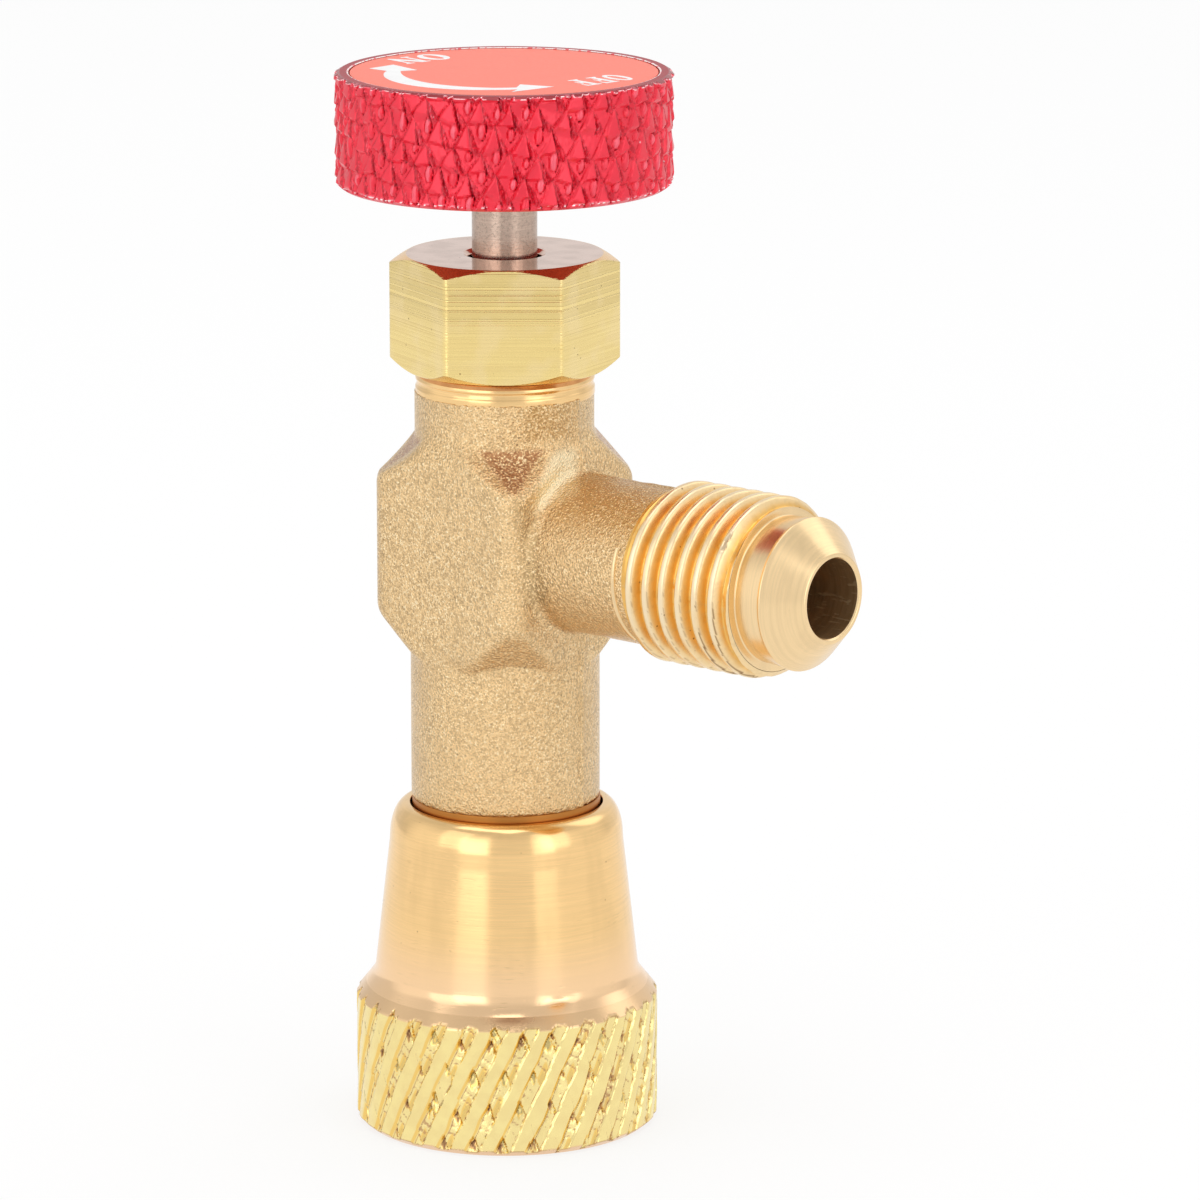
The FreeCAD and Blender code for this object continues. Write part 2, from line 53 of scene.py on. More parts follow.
import bpy
import numpy as np
from bpy.props import FloatProperty, FloatVectorProperty, IntProperty, PointerProperty
from bpy.types import Operator, Panel, PropertyGroup
from mathutils import Vector

# Mesh code works in millimetres and Blender in metres
MM = 0.001


def reach(node, axis, high=True):
    """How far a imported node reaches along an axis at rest, in millimetres."""
    low_corner, high_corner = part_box(node)
    corner = high_corner if high else low_corner
    return corner[axis] / MM


NUT_TOP_Z = reach("swivel_nut", 2)
NECK_TOP_Z = reach("valve_body", 2)
PORT_TIP_X = reach("valve_body", 0)
HEX_TOP_Z = reach("bonnet_nut", 2)
SHANK_FOOT_Z = reach("bonnet_nut", 2, False)
KNOB_FOOT_Z = reach("knob", 2, False)
SPINDLE_FOOT_Z = reach("spindle", 2, False)
DRIVE_TOP_Z = reach("spindle", 2)

# Heights and radii that pieces share, in millimetres
PORT_Z = 37.03
PORT_BORE_R = 2.42
SHOULDER_Z = 41.1
SEAT_R = 4.35
PISTON_BORE_R = 2.98
FOOT_BORE_R = 1.7
TAIL_R = 5.76
NUT_BORE_R = 5.96
GROOVE_Z = (14.9, 15.9)
GROOVE_DEPTH = 0.4
THREAD_PITCH = 1.27
SERVICE_R = 4.97
LIFT_FOOT_Z, LIFT_TOP_Z = 49.2, 52.7
HEX_HALF_FLAT = 6.15
HEX_FLAT_DEG = -49.5
KNOB_CHAMFER = 0.34

# How many random numbers the cells of a knurl draw from
CELL_NUMBERS = 4093
# Numbers that a mesh carries at each point, with their plain values: how high it looks, which the finishes
# turn into painted shade low down in grooves and hollows; how torn it is, which on the thread also carries
# painted shadow lines beside each burr; and where uncoated metal shows, which also carries painted highlights
MARKS = {"depth": 1.0, "torn": 0.0, "bare_and_highlight": 0.0}
METAL = {"Metallic": 1.0}
# Sockets of a Mix node that mixes colours
MIX_FACTOR, MIX_COLOURS, MIX_RESULT = 0, (6, 7), 2

# Walls of the studio: middle, half width and fade in degrees of the compass, share of the full brightness
WALLS = (
    (-106.0, 25.0, 10.0, 0.5),
    (-81.0, 12.0, 5.0, 2.3),
    (-133.0, 8.0, 34.0, 0.6),
    (-45.0, 17.0, 9.0, 0.3),
    (-11.0, 8.0, 6.0, 1.7),
    (14.0, 16.0, 8.0, 0.5),
    (36.0, 10.0, 34.0, 0.4),
    (104.0, 14.0, 24.0, 0.35),
    (140.0, 14.0, 14.0, 0.3),
    (180.0, 10.0, 20.0, 0.1),
)
# Lamps: name, place and size in metres, power in watts
LAMPS = (
    ("lamp_left", (-0.165, -0.575, 0.3), (0.3, 0.55), 0.26),
    ("lamp_right", (0.6, 0.02, 0.3), (0.36, 0.55), 0.3),
    ("lamp_top", (0.0, 0.0, 0.7), (0.6, 0.6), 1.3),
)
LAMP_TARGET = (0, 0, 0.035)
# The photograph's viewpoint: lens and place, how far the camera looks down and how far it is turned
CAMERA_LENS = 205.5
CAMERA_PLACE = (0.27186, -0.30924, 0.1296)
CAMERA_DOWN_DEG = 13.2
CAMERA_TURN_DEG = 40.51


# Sidebar values


def length(name, millimetres, description):
    """A length in the sidebar. It is given in millimetres here and kept in metres."""
    return FloatProperty(
        name=name,
        description=description,
        default=millimetres * MM,
        min=0.0,
        subtype="DISTANCE",
        unit="LENGTH",
        precision=6,
    )


def colour(name, red, green, blue, description):
    """A linear colour in the sidebar."""
    return FloatVectorProperty(
        name=name,
        description=description,
        default=(red, green, blue),
        min=0.0,
        max=1.0,
        size=3,
        subtype="COLOR",
    )


def level(name, value, description):
    """A light level in the sidebar, where 1 is white."""
    return FloatProperty(
        name=name, description=description, default=value, min=0.0, soft_max=1.5, subtype="FACTOR"
    )


def count(name, value, description):
    """A whole number in the sidebar."""
    return IntProperty(name=name, description=description, default=value, min=3)


class ForgingSizes(PropertyGroup):
    """Sizes of the forged tee."""

    barrel_radius: length("Barrel radius", 5.89, "Radius of the round barrel over the nut")
    barrel_foot: length("Barrel foot", 20.66, "Height of the barrel's lower edge")
    block_foot: length("Block foot", 29.9, "Height where the block grows out of the barrel")
    block_top: length("Block top", 43.9, "Height where the block ends in the neck")
    half_flat: length("Half width", 6.06, "From the axis to each flat of the block")
    corner_reach: length("Corner reach", 7.92, "From the axis to each cut corner of the block")
    neck_radius: length("Neck radius", 5.56, "Radius of the neck under the hexagon")
    port_radius: length("Port radius", 4.86, "Radius of the forged part of the flare port")
    edge_round: length("Edge round", 0.52, "How widely the forging's outer edges are rounded")
    root_round: length("Root round", 0.75, "How widely the port grows out of the block")
    seam_height: length("Seam height", 0.07, "How far the trimmed die seam stands out")
    grid_step: length("Grid step", 0.2, "Spacing of the grid that the forging is meshed on")


class FlareSizes(PropertyGroup):
    """Sizes of the flare port's turned end."""

    thread_pitch: length("Thread pitch", THREAD_PITCH, "Distance between two crests, 20 to the inch")
    crest_radius: length("Crest radius", 5.555, "Radius over the thread's crests")
    thread_depth: length("Thread depth", 0.66, "From crest to groove")
    thread_start: length("Thread start", 13.62, "Where the thread runs out on the forged neck")
    first_crest: length("First crest", 14.45, "Where the first crest stands on the side facing the camera")
    nose_length: length("Nose length", 2.05, "Length of the plain nose behind the cone")
    nose_radius: length("Nose radius", 4.5, "Radius of the plain nose")
    ridge_radius: length("Ridge radius", 4.65, "Widest part of the 45 degree cone")
    rim_radius: length("Rim radius", 2.72, "Outside of the narrow rim at the mouth")
    bore_radius: length("Bore radius", PORT_BORE_R, "Radius of the port's bore")


class NutSizes(PropertyGroup):
    """Sizes of the swivel nut."""

    knurl_radius: length("Knurl radius", 9.4, "Radius over the knurled grip")
    knurl_height: length("Knurl height", 8.0, "Height where the grip's upper chamfer starts")
    waist_radius: length("Waist radius", 8.19, "Foot of the polished cone")
    crown_radius: length("Crown radius", 7.24, "Top of the polished cone")
    mouth_radius: length("Mouth radius", 6.12, "Rim round the tail")
    knurl_depth: length("Knurl depth", 0.42, "Depth of the knurl's grooves")
    rising_height: length("Rising height", 4.0, "Height in which a rising groove moves on by one groove")
    falling_height: length("Falling height", 5.26, "Height in which a falling groove moves on by one groove")
    rising_count: count("Rising grooves", 31, "Rising grooves round the nut")
    falling_count: count("Falling grooves", 32, "Falling grooves round the nut")


class KnobSizes(PropertyGroup):
    """Sizes of the knob and its label."""

    radius: length("Radius", 10.33, "Radius over the knurl")
    top: length("Top", 66.0, "Height of the knob's rim")
    label_radius: length("Label radius", 9.37, "Radius of the printed label")
    knurl_depth: length("Knurl depth", 0.46, "Depth of the knurl's grooves")
    rising_height: length("Rising height", 2.99, "Height in which a rising groove moves on by one groove")
    falling_height: length("Falling height", 2.86, "Height in which a falling groove moves on by one groove")
    rising_count: count("Rising grooves", 35, "Rising grooves round the knob")
    falling_count: count("Falling grooves", 39, "Falling grooves round the knob")


class Finishes(PropertyGroup):
    """Colours of the finishes."""

    forging: colour("Blasted brass", 0.87, 0.6, 0.305, "Shot-blasted skin of the forging")
    turned: colour("Turned brass", 0.97, 0.65, 0.3, "Nut cone, neck ring and flare nose")
    knurled: colour("Knurled brass", 1.0, 0.8, 0.35, "Clean flanks of the nut's knurl")
    thread: colour("Thread brass", 0.98, 0.73, 0.4, "Cut thread of the flare port")
    hexagon: colour("Hexagon brass", 0.98, 0.75, 0.31, "Drawn bar of the hexagon")
    red: colour("Red", 0.88, 0.022, 0.052, "Anodised knob")
    orange: colour("Orange", 0.98, 0.115, 0.04, "Ground of the printed label")
    steel: colour("Steel", 0.55, 0.41, 0.33, "Plated stem")
    rubber: colour("Rubber", 0.02, 0.02, 0.022, "Seals and gasket")


class StudioSettings(PropertyGroup):
    """Light levels of the studio."""

    bright: level("Bright walls", 1.2, "How bright the lightest wall of the studio is")
    dim: level("Dim walls", 0.67, "How bright the studio is between the light walls")
    ceiling: level("Ceiling", 0.7, "How bright the studio's ceiling is")
    paper: level("Paper", 0.95, "How bright the floor looks in the metal")


# Shader nodes as Python expressions


def adds_maths(operation, swapped=False):
    """A Python operator or method that adds a Math node to its socket's tree."""

    def run(self, other):
        values = (other, self) if swapped else (self, other)
        return self.sheet.add("ShaderNodeMath", {"operation": operation}, dict(enumerate(values)))

    return run


class Socket:
    """An output socket. Python's operators on it add Math nodes to its tree."""

    def __init__(self, sheet, link):
        self.sheet = sheet
        self.link = link

    __add__, __radd__ = adds_maths("ADD"), adds_maths("ADD", True)
    __sub__, __rsub__ = adds_maths("SUBTRACT"), adds_maths("SUBTRACT", True)
    __mul__, __rmul__ = adds_maths("MULTIPLY"), adds_maths("MULTIPLY", True)
    __truediv__, __pow__ = adds_maths("DIVIDE"), adds_maths("POWER")
    at_least, at_most = adds_maths("MAXIMUM"), adds_maths("MINIMUM")

    def size(self):
        """The value without its sign."""
        return self.at_least(self * -1.0)

    def between(self, low, high):
        """0 at low, 1 at high, smooth between and flat beyond."""
        ends = {"Value": self, "From Min": low, "From Max": high}
        return self.sheet.add("ShaderNodeMapRange", {"interpolation_type": "SMOOTHSTEP"}, ends)

    def until(self, low, high):
        """1 at low, 0 at high, smooth between and flat beyond."""
        return 1 - self.between(low, high)


class ShaderSheet:
    """The node tree of one material or world, its owner."""

    def __init__(self, owner):
        self.owner = owner
        owner.use_nodes = True
        self.tree = owner.node_tree
        self.tree.nodes.clear()

    def add(self, kind, settings=None, sockets=None, output=0):
        """Add a node: first its settings, then values or links for its sockets. Gives back one output."""
        node = self.tree.nodes.new(kind)
        for name, value in (settings or {}).items():
            setattr(node, name, value)
        for name, value in (sockets or {}).items():
            if isinstance(value, Socket):
                self.tree.links.new(value.link, node.inputs[name])
            else:
                node.inputs[name].default_value = value
        return Socket(self, node.outputs[output]) if len(node.outputs) else None

    def place(self):
        """Position on the piece, in millimetres, which stays with the piece as it moves."""
        here = self.add("ShaderNodeTexCoord", output="Object")
        return self.stretch(here, 1 / MM, 1 / MM, 1 / MM)

    def stretch(self, place, x, y, z):
        """A place with its three coordinates scaled."""
        return self.add("ShaderNodeVectorMath", {"operation": "MULTIPLY"}, {0: place, 1: (x, y, z)})

    def parts(self, place):
        """The three coordinates of a place, as numbers."""
        node = self.add("ShaderNodeSeparateXYZ", {}, {0: place}).link.node
        return [Socket(self, output) for output in node.outputs]

    def noise(self, place, size, detail=2.0, roughness=0.5):
        """Cloudy pattern whose lumps are about size millimetres across."""
        sockets = {"Vector": place, "Scale": 1 / size, "Detail": detail, "Roughness": roughness}
        return self.add("ShaderNodeTexNoise", {}, sockets)

    def noise_along(self, value, sockets):
        """Cloudy pattern of one number, which makes bands."""
        return self.add("ShaderNodeTexNoise", {"noise_dimensions": "1D"}, {"W": value, **sockets})

    def specks(self, place, spacing, edge, group_size, share, detail=1.0):
        """Round specks in groups: their spacing, the fade of their edge, and the groups' size and share."""
        dots = self.add("ShaderNodeTexVoronoi", {}, {"Vector": place, "Scale": 1 / spacing})
        return dots.until(*edge) * self.noise(place, group_size, detail).between(*share)

    def mark(self, name):
        """A number that the mesh carries at each point."""
        return self.add("ShaderNodeAttribute", {"attribute_name": name}, {}, "Fac")

    def blend(self, factor, first, second):
        """Mix of two colours, or of two links that carry colours."""
        sockets = {MIX_FACTOR: factor}
        for index, value in zip(MIX_COLOURS, (first, second)):
            sockets[index] = value if isinstance(value, Socket) else (*value, 1.0)
        return self.add("ShaderNodeMix", {"data_type": "RGBA"}, sockets, MIX_RESULT)

    def tones(self, factor, tint, low, high):
        """A colour between a darker and a lighter one of the same tint."""
        return self.blend(factor, scaled(tint, low), scaled(tint, high))

    def coats(self, body, *coats):
        """A colour with others laid over it in turn, each given as a factor and a colour."""
        for factor, tint in coats:
            body = self.blend(factor, body, tint)
        return body

    def grey(self, level):
        """The grey of a level, as a colour."""
        return self.add("ShaderNodeCombineColor", {}, {0: level, 1: level, 2: level})

    def close(self, body, roughness, relief, others):
        """Finish the material. Relief is a height, its depth in millimetres and its strength."""
        height, depth, strength = relief
        bump = {"Height": height, "Distance": depth * MM, "Strength": strength}
        shader = self.add("ShaderNodeBsdfPrincipled", {}, {
            "Base Color": body,
            "Roughness": roughness,
            "Normal": self.add("ShaderNodeBump", {}, bump),
            **others,
        })
        self.add("ShaderNodeOutputMaterial", {}, {"Surface": shader})
        return self.owner


def scaled(tint, factor):
    """A colour made lighter or darker, kept within what a surface can send back."""
    return tuple(min(1.0, part * factor) for part in tint)


def start_finish(name):
    """The sheet of a new material, and the place on its piece."""
    sheet = ShaderSheet(bpy.data.materials.new(name))
    return sheet, sheet.place()


def blasted_brass(tint):
    """Sandy, shot-blasted skin: fine bright grain, painted shade in the hollows over the corners, down the
    front corner and on the neck's side, a painted dark reflection on the port's upper side, painted
    highlights along the shoulders, and a few specks.
    """
    sheet, place = start_finish("blasted_brass")
    grain = sheet.noise(place, 0.13, 2.0, 0.6)
    sand = sheet.noise(place, 0.28, 2.0, 0.6)
    patches = sheet.noise(place, 3.2, 3.0)
    specks = sheet.specks(place, 0.6, (0.06, 0.15), 1.8, (0.52, 0.6), 2.0)
    height = grain * 0.62 + sand * 0.38
    x, y, z = sheet.parts(place)
    sideways, forward = x + y, x - y
    off_corner = sideways.size().at_most(forward.size())
    rise = z - SHOULDER_Z
    # Painted shade: the hollows over the block's corners are darkened to red-brown
    hollow = (off_corner - rise * 1.15).until(-0.4, 0.3) * rise.between(0.0, 0.7) * rise.until(2.3, 2.7)
    off_middle = sideways * 0.7
    # Painted shade: a darker strip down the block's front corner stands in for a dark reflection
    corner_shade = (off_middle - 0.7 + (z - 40.0) * 0.12).size().until(0.25, 1.0) * forward.between(9.4, 10.2)
    corner_shade = corner_shade * z.between(33.5, 35.0) * z.until(40.6, 41.4)
    # Painted highlight: a lighter band along the edges of the shoulders
    shoulder_highlight = (off_middle - 0.9 - rise * 0.5).between(0.0, 0.9) * off_middle.until(3.6, 4.4)
    shoulder_highlight = shoulder_highlight * (z + off_middle * -0.45).between(39.2, 40.0) * z.until(43.0, 43.8)
    # Painted reflection: the port's upper side next to the block is darkened to a deeper brown-yellow
    port_top_dark_reflection = (x - 6.5).between(0.0, 1.5) * (z - 38.6).between(0.0, 2.0)
    # Painted shade: darker flecks on the neck's side, just above the block
    neck_side_shade = off_middle.between(0.4, 1.4) * off_middle.until(3.4, 4.2) * z.between(43.9, 44.5)
    body = sheet.coats(
        sheet.tones(height.between(0.38, 0.56), tint, 0.68, 1.03),
        (port_top_dark_reflection * 0.55, (0.6, 0.33, 0.09)),
        (corner_shade * grain.until(0.5, 0.62) * 0.5, (0.4, 0.27, 0.12)),
        (shoulder_highlight * forward.between(4.0, 6.0) * 0.85, (1.0, 0.84, 0.54)),
        (neck_side_shade * grain.until(0.44, 0.58) * 0.6, (0.46, 0.25, 0.07)),
        (grain.between(0.55, 0.68), (1.0, 0.82, 0.52)),
        (patches.between(0.45, 0.62) * 0.25, scaled(tint, 0.82)),
        (hollow * grain.until(0.5, 0.62) * 0.8, (0.42, 0.17, 0.07)),
        (specks * 0.7, (0.16, 0.09, 0.04)),
    )
    return sheet.close(body, 0.15 + sand * 0.1, (height, 0.19, 1.0), METAL)


def turned_brass(name, tint, along_x=False, roughness=0.12, scuffs=0.0):
    """Lathe-turned brass: fine rings round the axis, small pits and, where asked, a pink foot and scuffs."""
    sheet, place = start_finish(name)
    lathe = (9.0, 0.2, 0.2) if along_x else (0.2, 0.2, 12.0)
    lines = sheet.noise(sheet.stretch(place, *lathe), 1.0, 3.0, 0.6)
    haze = sheet.noise(place, 2.2, 3.0)
    smears = sheet.noise(sheet.stretch(place, 1.0, 1.0, 0.25), 2.4, 3.0, 0.6)
    pits = sheet.specks(place, 0.7, (0.05, 0.11), 1.3, (0.56, 0.66))
    body = sheet.coats(
        sheet.tones(lines.between(0.3, 0.7), tint, 0.95, 1.03),
        (smears.between(0.45, 0.62) * 0.4, scaled(tint, 0.84)),
        ((pits + sheet.mark("torn")).at_most(1.0) * 0.8, (0.28, 0.15, 0.06)),
    )
    height = lines * 0.8 - pits * 6.0
    if scuffs:
        waist = sheet.parts(place)[2].until(9.5, 14.0)
        streaks = sheet.noise(sheet.stretch(place, 0.9, 0.9, 8.0), 1.0, 2.0, 0.6).between(0.6, 0.68)
        scuffed = streaks * sheet.noise(place, 2.6, 1.0).between(0.5, 0.62)
        body = sheet.coats(body, (waist * 0.9, (1.0, 0.68, 0.4)), (scuffed * scuffs, scaled(tint, 0.66)))
        height = height - scuffed * 4.0
    return sheet.close(body, roughness + lines * 0.03 + haze * 0.06, (height, 0.0009, 0.8), METAL)


def knurled_brass(tint):
    """Cut knurl: clean yellow bands, flanks painted orange and valleys painted darker as shade, thin brown
    edges, small dark pits, cut chamfers of plain brass.
    """
    sheet, place = start_finish("knurled_brass")
    depth, torn, bare_and_highlight = map(sheet.mark, MARKS)
    fine = sheet.noise(place, 0.2, 3.0, 0.6)
    lumps = sheet.noise(place, 0.9, 2.0)
    body = sheet.coats(
        sheet.tones(lumps.between(0.3, 0.7), tint, 0.95, 1.03),
        # Painted shade: the flanks turn orange and the deepest places darker as the depth mark falls; the
        # pits and grey patches take the darker colour too
        ((1 - depth).between(0.1, 0.4) * 0.75, (0.96, 0.6, 0.14)),
        ((1 - depth).between(0.5, 0.8) * 0.8, (0.52, 0.44, 0.2)),
        (torn.between(0.2, 0.6) * fine.between(0.3, 0.5) * 0.8, (0.5, 0.26, 0.13)),
        (torn.between(0.75, 1.0) * fine.between(0.4, 0.55) * 0.85, (0.14, 0.06, 0.03)),
        (bare_and_highlight, (0.86, 0.56, 0.33)),
        ((bare_and_highlight * torn * 1.5).at_most(0.85), (0.26, 0.12, 0.05)),
    )
    return sheet.close(body, 0.2 + torn * 0.25, (fine * (torn * 0.8 + 0.12), 0.04, 0.8), METAL)


def thread_brass(tint):
    """Cut thread: broad crests with a painted highlight, grooves painted deeper orange as shade, small chips
    and thin brown lines of painted shadow beside each burr.
    """
    sheet, place = start_finish("thread_brass")
    depth, torn, bare_and_highlight = map(sheet.mark, MARKS)
    lines = sheet.noise(sheet.stretch(place, 9.0, 0.4, 0.4), 1.0, 3.0, 0.6)
    fine = sheet.noise(place, 0.3, 3.0)
    stains = sheet.noise(place, 0.9, 3.0)
    chips = sheet.specks(place, 0.7, (0.05, 0.12), 1.6, (0.48, 0.56))
    body = sheet.coats(
        # Painted shade: the colour turns deeper orange towards the bottom of the grooves
        sheet.blend(depth.between(0.0, 0.8), (0.92, 0.53, 0.14), tint),
        (stains.between(0.5, 0.62) * (1 - depth) * 0.3, (0.62, 0.34, 0.09)),
        (fine.between(0.5, 0.72) * 0.35, scaled(tint, 0.78)),
        # Painted highlight on the crests
        (bare_and_highlight * 0.8, (1.0, 0.84, 0.58)),
        # Real chips, and the painted shadow lines beside each burr
        ((chips + torn).at_most(1.0) * 0.85, (0.26, 0.13, 0.05)),
    )
    return sheet.close(body, 0.26 + fine * 0.12, (lines * 0.4 + fine * 0.6, 0.016, 0.8), METAL)


def bored_brass():
    """Dull, scratched wall of the port's bore."""
    sheet, place = start_finish("bored_brass")
    rings = sheet.noise(sheet.stretch(place, 5.0, 0.5, 0.5), 1.0, 3.0, 0.6)
    scratches = sheet.noise(sheet.stretch(place, 0.6, 4.0, 1.5), 0.6, 2.0).between(0.6, 0.7)
    body = sheet.blend(rings.between(0.3, 0.7), (0.5, 0.32, 0.15), (0.6, 0.4, 0.2))
    body = sheet.blend(scratches * 0.6, body, (0.9, 0.7, 0.42))
    return sheet.close(body, 0.34 + rings * 0.1, (rings, 0.01, 0.7), {"Metallic": 0.85})


def hexagon_flats(tint):
    """Flats of the hexagon: drawn bar with level cutter marks, most of them in its upper part."""
    sheet, place = start_finish("hexagon_flats")
    z = sheet.parts(place)[2]
    fine = sheet.noise(place, 0.3, 2.0)
    sheer = sheet.noise(sheet.stretch(place, 0.12, 0.12, 9.0), 1.0, 2.0, 0.6)
    upper = z.between(HEX_TOP_Z - 4.2, HEX_TOP_Z - 2.6)
    ledges = sheet.noise_along(z, {"Scale": 4.2, "Detail": 1.0}).between(0.42, 0.5)
    shade = sheet.noise(place, 2.2, 2.0)
    specks = sheet.specks(place, 0.6, (0.05, 0.12), 1.4, (0.53, 0.6))
    body = sheet.coats(
        sheet.tones(sheer.between(0.3, 0.7), tint, 0.93, 1.05),
        (ledges * (upper * 0.35 + 0.08), scaled(tint, 0.72)),
        (shade.between(0.45, 0.65) * 0.35, (1.0, 0.8, 0.44)),
        (specks * 0.8, (0.2, 0.13, 0.05)),
    )
    height = sheer * 0.4 + ledges * (upper * 2.2 + 0.5) - specks * 2.0
    return sheet.close(body, 0.17 + sheer * 0.1 + fine * 0.08, (height, 0.014, 0.8), METAL)


def hexagon_faces():
    """End faces of the hexagon: fine turned rings in a brownish haze, with a golden chamfer."""
    sheet, place = start_finish("hexagon_faces")
    x, y, _ = sheet.parts(place)
    radius = (x * x + y * y) ** 0.5
    rings = sheet.noise_along(radius, {"Scale": 7.0})
    haze = sheet.noise(place, 1.6, 2.0)
    outer = radius.between(5.95, 6.1)
    specks = sheet.specks(place, 0.6, (0.05, 0.12), 1.4, (0.53, 0.6))
    body = sheet.coats(
        sheet.blend(haze.between(0.35, 0.7), (0.78, 0.55, 0.45), (0.64, 0.44, 0.35)),
        (outer, (0.98, 0.66, 0.33)),
        (specks * 0.8, (0.2, 0.13, 0.05)),
    )
    relief = (rings * 0.3 - specks * 2.0, 0.003, 0.8)
    return sheet.close(body, 0.07 + haze * 0.09 + outer * 0.14, relief, METAL)


def plated_steel(tint):
    """Turned and plated stem: brownish, fine rings, many small specks."""
    sheet, place = start_finish("plated_steel")
    lines = sheet.noise(sheet.stretch(place, 0.4, 0.4, 12.0), 1.0, 3.0, 0.6)
    specks = sheet.noise(place, 0.18, 3.0, 0.6)
    body = sheet.tones(lines.between(0.3, 0.7), tint, 0.92, 1.08)
    body = sheet.blend(specks.between(0.5, 0.62) * 0.5, body, (0.34, 0.27, 0.22))
    return sheet.close(body, 0.15 + specks * 0.2, (lines * 0.3 + specks * 0.7, 0.012, 0.8), METAL)


def drawn_wire():
    """Spring wire with draw marks and a little tarnish."""
    sheet, place = start_finish("drawn_wire")
    tarnish = sheet.noise(place, 0.8, 3.0)
    draw_marks = sheet.noise(sheet.stretch(place, 1.0, 1.0, 8.0), 0.8, 2.0)
    body = sheet.blend(tarnish.between(0.35, 0.7), (0.56, 0.55, 0.53), (0.32, 0.29, 0.26))
    return sheet.close(body, 0.28 + tarnish * 0.2, (draw_marks, 0.01, 0.6), METAL)


def moulded_rubber(tint):
    """Black moulded rubber with a faint bloom."""
    sheet, place = start_finish("moulded_rubber")
    bloom = sheet.noise(place, 1.6, 3.0)
    skin = sheet.noise(place, 0.12, 2.0)
    body = sheet.blend(bloom.between(0.4, 0.8), tint, scaled(tint, 2.6))
    return sheet.close(body, 0.42 + bloom * 0.2, (skin, 0.01, 0.6), {})


def red_anodised(name, tint, dark=0.0, shade=(0.22, 0.002, 0.008)):
    """Anodised skin: even red facets, painted shade in the grooves, hollows and torn folds, lighter pink
    painted highlights, white glints where uncoated aluminium shows at each burr, some of them painted
    highlights, and darker copies that paint shade.
    """
    sheet, place = start_finish(name)
    depth, torn, bare_and_highlight = map(sheet.mark, MARKS)
    fine = sheet.noise(place, 0.3, 2.0, 0.6)
    lumps = sheet.noise(place, 1.1, 2.0)
    body = sheet.coats(
        sheet.tones(lumps.between(0.3, 0.7), tint, 0.93, 1.03),
        # Painted shade: dark red where the depth mark is low, in the grooves, round the bumps and on the top
        # chamfer
        ((1 - depth).between(0.1, 0.9) * 0.9, (0.24, 0.0, 0.006)),
        # Painted shade: dark flecks over the torn folds
        (torn.between(0.2, 0.8) * fine.between(0.44, 0.54) * 0.5, (0.42, 0.0, 0.015)),
        # Lighter pink, then white specks where the highlight mark is high: uncoated aluminium on the lip, the
        # cut top edge and the foot's burr, and painted highlights on the bumps and in the grooves
        (bare_and_highlight.between(0.0, 0.4) * 0.4, (1.0, 0.26, 0.34)),
        (bare_and_highlight.between(0.55, 0.9) * fine.between(0.4, 0.48), (1.0, 0.9, 0.88)),
        # Darker copies of the skin for the rim and the underside: painted shade
        (dark * (1 - bare_and_highlight), shade),
    )
    return sheet.close(body, 0.34 + torn * 0.1, (fine * (torn * 0.9 + 0.1), 0.03, 0.8), {
        "Metallic": 0.4 * (1 - dark),
        "Specular IOR Level": 0.5 * (1 - dark),
        "Coat Weight": 0.28 * (1 - dark),
        "Coat Roughness": 0.12,
    })


def printed_film(name, tint, roughness):
    """Printed label film: nearly even ink over a faintly uneven sheet."""
    sheet, place = start_finish(name)
    ink = sheet.noise(place, 1.4, 3.0)
    fibre = sheet.noise(place, 0.2, 2.0)
    body = sheet.tones(ink.between(0.3, 0.75), tint, 0.97, 1.03)
    return sheet.close(body, roughness + fibre * 0.06, (fibre, 0.002, 0.4), {})


# Meshes from rings of points


